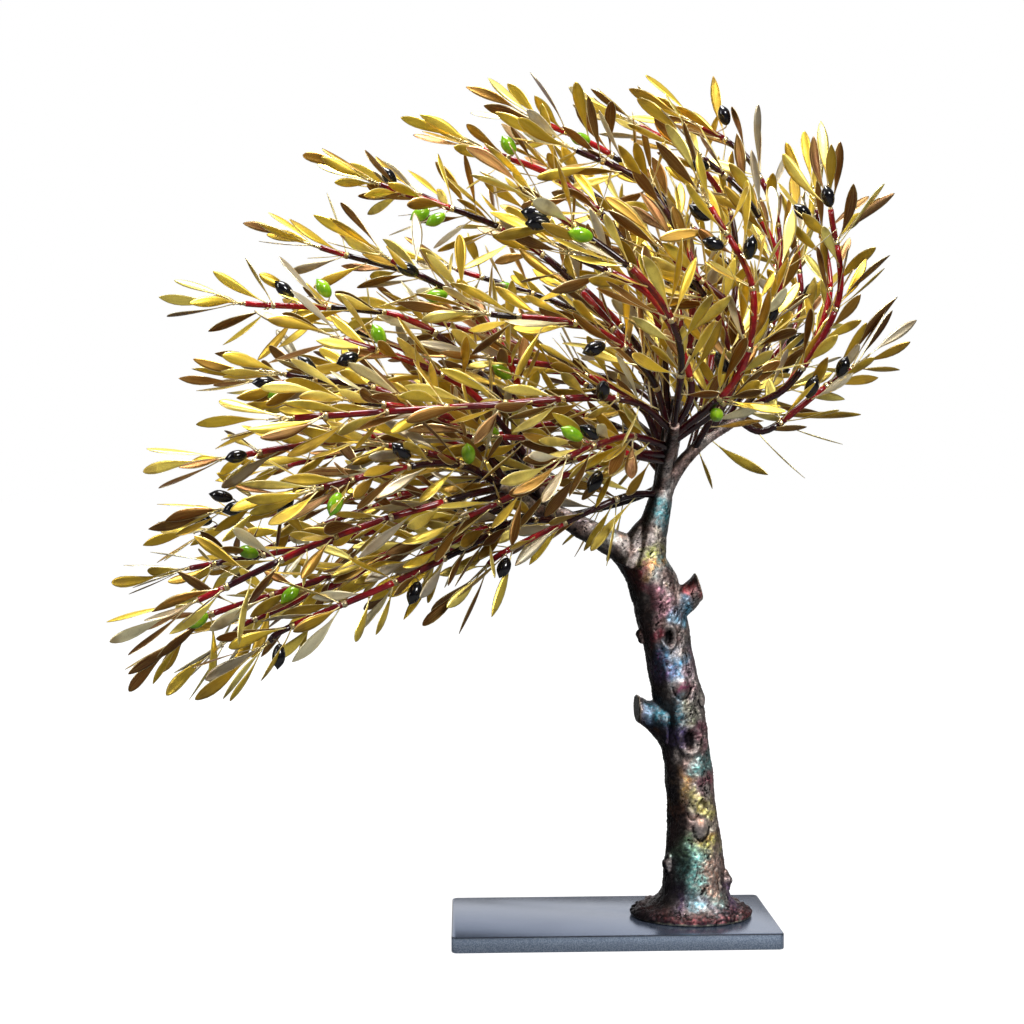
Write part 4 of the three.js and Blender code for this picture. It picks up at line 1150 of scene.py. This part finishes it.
# An olive, pointed at its free end, on its bent stalk
def addOlive(shape, stalks, spot, draw):
    shares = -np.cos(np.linspace(0, math.pi, olive["rings"] + 2)[1:-1])
    swell = (1 - shares ** 2) ** (0.52 + 0.6 * ramped(shares, -0.1, 0.95))
    half = olive["length"] / 2 * between(olive["lengths"], draw())
    axis = spot["axis"]
    radius = olive["radius"] * between(olive["widths"], draw())
    line = spot["centre"] + axis * (shares * half)[:, None]
    facets = 1 + olive["facets"] * np.sin(np.arange(olive["sides"]) * 3.1 + 9 * draw())
    addTube(shape, line, radius * swell[:, None] * facets[None, :], olive["sides"], (draw(), 0, 0))
    neck = spot["centre"] - axis * half * olive["neck"]
    root = spot["root"]
    reach = np.linalg.norm(neck - root)
    rising = root + (neck - root) * 0.3 + upAxis * reach * 0.12
    stalk = bezier((root, rising, neck - axis * reach * 0.35, neck + axis * 2), 9)
    addTube(stalks, stalk, olive["stalkRadius"], 6, (0.7, 0, 0))
    addBlob(stalks, neck + axis * 0.6, olive["knobRadius"], draw)


def makeLeafBrass():
    material, tree, shader = startMaterial("leafBrass", Metallic=0.66)
    along, across, tone = paintValues(tree)
    colour = addRamp(tree, tone, [
        (0.0, (0.98, 0.84, 0.22)), (0.2, (0.9, 0.66, 0.07)), (0.44, (0.72, 0.48, 0.03)),
        (0.58, (0.46, 0.27, 0.015)), (0.68, (0.2, 0.06, 0.008)), (0.8, (0.1, 0.022, 0.006)),
        (0.88, (0.09, 0.02, 0.006)), (0.91, (0.5, 0.44, 0.32)), (0.95, (0.6, 0.55, 0.44)),
        (1.0, (0.88, 0.82, 0.5))])
    # heat tint that gathers towards one end of a leaf
    patches = mottled(tree, Scale=55.0, Detail=3.0, Low=0.38, High=0.66)
    colour = addMix(tree, scaled(tree, patches, 0.3), colour, (0.26, 0.12, 0.01))
    reached = addMath(tree, "MULTIPLY_ADD", patches, 0.45, along)
    colour = addMix(tree, addRange(tree, reached, 0.9, 1.45, 0.0, 0.6), colour, (0.09, 0.03, 0.005))
    # brushed lines along the blade
    lineUp = addNode(tree, "ShaderNodeCombineXYZ")
    for value, factor, socket in zip((along, across, tone), (1.6, 9.0, 90.0), lineUp.inputs):
        tree.links.new(scaled(tree, value, factor), socket)
    brushed = addNode(tree, "ShaderNodeTexNoise")
    brushed.inputs["Scale"].default_value = 1.0
    brushed.inputs["Detail"].default_value = 3.0
    tree.links.new(lineUp.outputs[0], brushed.inputs["Vector"])
    streaks = addRange(tree, brushed.outputs["Fac"], 0.35, 0.65)
    colour = addMix(tree, scaled(tree, streaks, 0.12), colour, (0.9, 0.72, 0.2))
    specks = mottled(tree, Scale=1300.0, Detail=2.0, Low=0.52, High=0.7)
    colour = addMix(tree, scaled(tree, specks, 0.22), colour, (0.34, 0.2, 0.03))
    # the cut edge of the sheet is painted bright, as bare metal and as a painted highlight along it; the wire
    # of its stalk is bright
    edge = scaled(tree, addRange(tree, addMath(tree, "ABSOLUTE", across), 0.86, 0.98), 0.75)
    wire = scaled(tree, addRange(tree, along, 0.3, 0.14), 0.8)
    colour = addMix(tree, addMath(tree, "MAXIMUM", edge, wire), colour, (0.86, 0.76, 0.42))
    rough = addRange(tree, patches, 0, 1, 0.3, 0.42)
    dress(tree, shader, colour, rough, Scale=900.0, Strength=0.18, Depth=0.00012)
    return material


# A matt skin under a clear glossy coat
def startGloss(name, coatIOR, coatRoughness):
    return startMaterial(name, Roughness=0.4, Specular_IOR_Level=0.05, Coat_Weight=1.0, Coat_IOR=coatIOR,
                         Coat_Roughness=coatRoughness)


def makeRodLacquer():
    material, tree, shader = startGloss("rodLacquer", 1.48, 0.03)
    clouds = mottled(tree, Scale=120.0, Detail=3.0, Low=0.3, High=0.7)
    tone = addMath(tree, "ADD", paintValues(tree)[0], addMath(tree, "MULTIPLY_ADD", clouds, 0.24, -0.12))
    dress(tree, shader, addRamp(tree, tone, [
        (0.0, (0.008, 0.001, 0.002)), (0.3, (0.03, 0.002, 0.004)), (0.52, (0.07, 0.003, 0.007)),
        (0.76, (0.16, 0.004, 0.008)), (1.0, (0.36, 0.008, 0.011))]))
    return material


def makeSolderGold():
    material, tree, shader = startMaterial("solderGold", Metallic=1.0)
    stains = mottled(tree, Scale=350.0, Detail=4.0, Low=0.4, High=0.62)
    golds = [(0.0, (0.72, 0.58, 0.26)), (0.6, (0.82, 0.74, 0.5)), (1.0, (0.56, 0.4, 0.14))]
    colour = addRamp(tree, paintValues(tree)[0], golds)
    colour = addMix(tree, scaled(tree, stains, 0.5), colour, (0.3, 0.17, 0.05))
    rough = addRange(tree, stains, 0, 1, 0.26, 0.45)
    dress(tree, shader, colour, rough, Scale=700.0, Strength=0.4, Depth=0.0003)
    return material


def makeOliveEnamel(name, skin, blush, patches):
    material, tree, shader = startGloss(name, 1.52, 0.02)
    spots = mottled(tree, Scale=patches, Detail=4.0, Low=0.4, High=0.7)
    dress(tree, shader, addMix(tree, spots, skin, blush), Scale=260.0, Strength=0.12, Depth=0.0004)
    return material


blackEnamel = makeOliveEnamel("blackOlive", (0.002, 0.002, 0.003), (0.006, 0.005, 0.008), 120.0)
greenEnamel = makeOliveEnamel("greenOlive", (0.14, 0.34, 0.006), (0.3, 0.5, 0.02), 160.0)
finishes = {
    "leaves": (makeLeafBrass(), "leaf_brass"), "rod": (makeRodLacquer(), "rod_lacquer"),
    "solder": (makeSolderGold(), "leaf_brass"), "black_olives": (blackEnamel, "black_olive"),
    "green_olives": (greenEnamel, "green_olive"),
}
# The scene's own leaves: seeds, spreads on the rod and on its wire, places along it, and the tries to find room
filler = {
    "seed": 50021, "seedStep": 131, "spread": (0.3, 1.3), "wireSpread": (0.25, 0.8), "roll": (-1.5, 1.5),
    "lengths": (0.72, 1.15), "shifts": (1.5, -rod["nodeGap"] / 2), "wireShifts": (-5,), "crossTurn": 0.8,
    "tries": 12, "turn": 0.55, "looseTries": 8, "ease": 0.8, "lastEase": 0.6,
}
shaping = {"seed": 70001, "seedStep": 53, "dropReach": (1.8, 2.8), "dropRadius": (0.6, 1.15)}


def occupyLimbs():
    for rows in limbs.values():
        length = sum(math.dist(a[:3], b[:3]) for a, b in zip(rows, rows[1:]))
        spots = splineLine(rows, round(length / rod["limbTraceGap"]))
        occupy(-1, [(spot[:3], spot[3]) for spot in spots])


def occupyRod(owner, line):
    spheres = []
    distance = rod["traceFrom"]
    while distance < line["length"]:
        spheres.append((alongRod(line, distance)[0], rodRadius(line, distance)))
        distance += rod["traceStep"]
    place, direction = alongRod(line, line["length"] + rod["wireLength"])
    for step in range(-rod["wireLength"], leaf["length"], 5):
        spheres.append((place + direction * step, leaf["petioleClearance"] if step < 8 else leaf["clearance"]))
    occupy(owner, spheres)


def oliveSpheres(placed, ease=1.0):
    return [(placed["centre"] + placed["axis"] * step, olive["radius"] * ease) for step in olive["spheres"]]


# Hangs the source's olives and returns the others
def hangOlives(sprays):
    lines = [spray["line"] for spray in sprays[:nodesInSource]]
    others = []
    for i, spot in enumerate(oliveSpots):
        placed = placeOlive(spot, lines)
        placed["kind"] = "black_olives" if i < blackOlives else "green_olives"
        spheres = oliveSpheres(placed)
        if i % olive["every"] == 0 and isClear(placed["owner"], spheres):
            occupy(placed["owner"], spheres)
            sprays[placed["owner"]]["olives"].append(placed)
        else:
            others.append(placed)
    return others


def startLeaves(owner, spray):
    draw = drawFrom(leaf["firstSeed"] + leaf["seedStep"] * owner)
    spray["leaves"], spray["later"], spray["stops"] = placePairs(owner, spray["line"], draw)


# The leaves that only the scene has: the pairs kept in mind, and more pairs at each node, square to the first
def fillNodes(owner, spray):
    draw = drawFrom(filler["seed"] + filler["seedStep"] * owner)
    wanted = list(spray["later"])
    for i, stop in enumerate(spray["stops"]):
        onWire = i == len(spray["stops"]) - 1
        spreads = filler["wireSpread" if onWire else "spread"]
        for crossing, shift in enumerate(filler["wireShifts" if onWire else "shifts"]):
            sides = [(opposite, between(spreads, draw()), between(filler["roll"], draw()),
                      leaf["length"] * between(filler["lengths"], draw())) for opposite in (0, math.pi)]
            azimuth = i * leaf["goldenTurn"] + math.pi / 2 + draw() + crossing * filler["crossTurn"]
            wanted.append((stop + shift, azimuth, sides))
    for distance, azimuth, sides in wanted:
        for opposite, spread, roll, length in sides:
            for turn in range(filler["tries"]):
                ease = filler["ease"] if turn < filler["looseTries"] else filler["lastEase"]
                angle = azimuth + opposite + turn * filler["turn"]
                single = leafPose(spray["line"], distance, angle, spread, roll, length)
                spheres = leafSpheres(single)
                if isInCrown(single) and isClear(owner, spheres, ease):
                    occupy(owner, spheres)
                    spray["leaves"].append(single)
                    break


# The leaf that ends the rod
def endLeaf(line):
    end, direction = alongRod(line, line["length"] + rod["wireLength"] - 1)
    side = unit(np.cross(depthAxis, direction))
    bend = np.cross(direction, side) * 0.4
    return {"place": end, "axis": direction, "bend": bend, "width": side, "length": leaf["length"] + 1}


def addLooseLeaf(sprays, start, share, tipSpot, roll):
    if isinstance(start, str):
        root, owner = onLimb(start, share), 0
    else:
        line = sprays[start]["line"]
        root, owner = alongRod(line, line["length"] * share)[0], start
    step = np.array(sighted(tipSpot)) - root
    reach = np.linalg.norm(step)
    axis = step / reach
    side = unit(np.cross(axis, depthAxis))
    bend = np.cross(axis, side)
    width = side * math.cos(roll) + bend * math.sin(roll)
    pose = {"place": root, "axis": axis, "bend": bend * 0.5, "width": width, "length": reach}
    sprays[owner]["leaves"].append(pose)


def buildSpray(owner, spray):
    draw = drawFrom(shaping["seed"] + shaping["seedStep"] * owner)
    shapes = {kind: Shape() for kind in finishes}
    addRod(shapes["rod"], shapes["solder"], spray["line"], spray["stops"], draw)
    addTip(shapes["solder"], spray["line"], draw)
    for pose in spray["leaves"]:
        addLeaf(shapes["leaves"], pose, draw)
        foot = pose["place"] + pose["axis"] * between(shaping["dropReach"], draw())
        addBlob(shapes["solder"], foot, between(shaping["dropRadius"], draw()), draw)
    for placed in spray["olives"]:
        addOlive(shapes[placed["kind"]], shapes["solder"], placed, draw)
    inSource = owner < nodesInSource
    label = f"spray_{owner + 1:02d}" if inSource else f"extra_spray_{owner - nodesInSource + 1}"
    for kind, shape in shapes.items():
        if not shape.count:
            continue
        material, slotName = finishes[kind]
        replaced = [label] if inSource and kind in ("rod", "leaves") else []
        mesh = toMesh(f"{label}_{kind}", shape)
        mesh.transform(treeTurn)
        addPiece(f"{label}_{kind}", mesh, material, slotName, replaced)


def buildSprays():
    sprays = [{"line": traceRod(row), "leaves": [], "olives": []} for row in rods]
    known = sprays[:nodesInSource]
    occupyLimbs()
    for owner, spray in enumerate(known):
        occupyRod(owner, spray["line"])
    otherOlives = hangOlives(sprays)
    for owner, spray in enumerate(known):
        startLeaves(owner, spray)
    print("leaves of the source", sum(len(spray["leaves"]) for spray in known) + len(known))
    # what only the scene has: the other olives and rods, then the other leaves
    for placed in otherOlives:
        occupy(placed["owner"], oliveSpheres(placed, olive["closeness"]))
        sprays[placed["owner"]]["olives"].append(placed)
    for owner in range(nodesInSource, len(sprays)):
        occupyRod(owner, sprays[owner]["line"])
        startLeaves(owner, sprays[owner])
    for owner, spray in enumerate(sprays):
        fillNodes(owner, spray)
        spray["leaves"].append(endLeaf(spray["line"]))
    for row in looseLeaves:
        addLooseLeaf(sprays, *row)
    print("leaves in all", sum(len(spray["leaves"]) for spray in sprays))
    for owner, spray in enumerate(sprays):
        buildSpray(owner, spray)


buildSprays()
print("sprays done")


# Floor, light and camera

studio = {
    "floorSize": 60.0, "floorColour": (0.14, 0.14, 0.14), "floorGlow": 1.0,
    "lens": 54.39, "eye": (-0.1058, -1.108, 0.321), "pitch": 0.985, "yaw": -1.797, "roll": 0.15,
    "sky": [(0.0, (0.03, 0.03, 0.033)), (0.4, (0.06, 0.06, 0.063)), (1.0, (0.16, 0.16, 0.16))],
    # name, place, target, size, watts
    "softboxes": [
        ("keyRight", (0.8, -1.7, 1.35), (-0.05, 0, 0.35), (0.6, 0.6), 38),
        ("fillLeft", (-1.8, -0.9, 1.1), (0, 0, 0.35), (0.3, 1.2), 17),
        ("overhead", (-0.1, -0.1, 1.75), (0, 0, 0.3), (0.8, 0.6), 44),
        ("rimBack", (0.0, 2.2, 0.85), (0, 0, 0.3), (3.4, 1.3), 16),
    ],
}


def buildFloor():
    half = studio["floorSize"] / 2
    mesh = bpy.data.meshes.new("floor")
    corners = [(-half, -half, 0), (half, -half, 0), (half, half, 0), (-half, half, 0)]
    mesh.from_pydata(corners, [], [(0, 1, 2, 3)])
    floor = toScene("floor", mesh)
    floor.location.z = -0.0002
    material, tree, shader = startMaterial("floorPaper", Roughness=0.9)
    shader.inputs["Base Color"].default_value = (*studio["floorColour"], 1)
    seen = addNode(tree, "ShaderNodeLightPath").outputs["Is Camera Ray"]
    tree.links.new(addMix(tree, seen, (0.0, 0.0, 0.0), (1.0, 1.0, 1.0)), shader.inputs["Emission Color"])
    shader.inputs["Emission Strength"].default_value = studio["floorGlow"]
    mesh.materials.append(material)


def addSoftbox(name, place, target, size, power):
    light = bpy.data.lights.new(name, "AREA")
    light.shape = "RECTANGLE"
    light.size, light.size_y = size
    light.energy = power
    lamp = toScene(name, light)
    lamp.location = place
    lamp.rotation_euler = (Vector(target) - Vector(place)).to_track_quat("-Z", "Y").to_euler()


def lightStudio():
    world = bpy.data.worlds.new("studio")
    bpy.context.scene.world = world
    world.use_nodes = True
    tree = world.node_tree
    background = tree.nodes["Background"]
    height = splitVector(tree, addNode(tree, "ShaderNodeTexCoord").outputs["Generated"])[2]
    sky = addRamp(tree, addRange(tree, height, -0.05, 0.9), studio["sky"])
    seen = addNode(tree, "ShaderNodeLightPath").outputs["Is Camera Ray"]
    tree.links.new(addMix(tree, seen, sky, (1.0, 1.0, 1.0)), background.inputs["Color"])
    background.inputs["Strength"].default_value = 1.0
    for row in studio["softboxes"]:
        addSoftbox(*row)


def placeCamera():
    pitch, yaw, roll = (math.radians(studio[name]) for name in ("pitch", "yaw", "roll"))
    forward = Vector((-math.sin(yaw) * math.cos(pitch), math.cos(yaw) * math.cos(pitch), -math.sin(pitch)))
    level = forward.cross(Vector((0, 0, 1))).normalized()
    upright = level.cross(forward)
    right = level * math.cos(roll) - upright * math.sin(roll)
    up = upright * math.cos(roll) + level * math.sin(roll)
    data = bpy.data.cameras.new("photoCamera")
    data.lens = studio["lens"]
    camera = toScene("photoCamera", data)
    turn = Matrix((right, up, -forward)).transposed().to_4x4()
    camera.matrix_world = Matrix.Translation(studio["eye"]) @ turn
    bpy.context.scene.camera = camera


buildFloor()
lightStudio()
placeCamera()
bpy.context.scene.view_settings.view_transform = "Standard"
print("studio done")
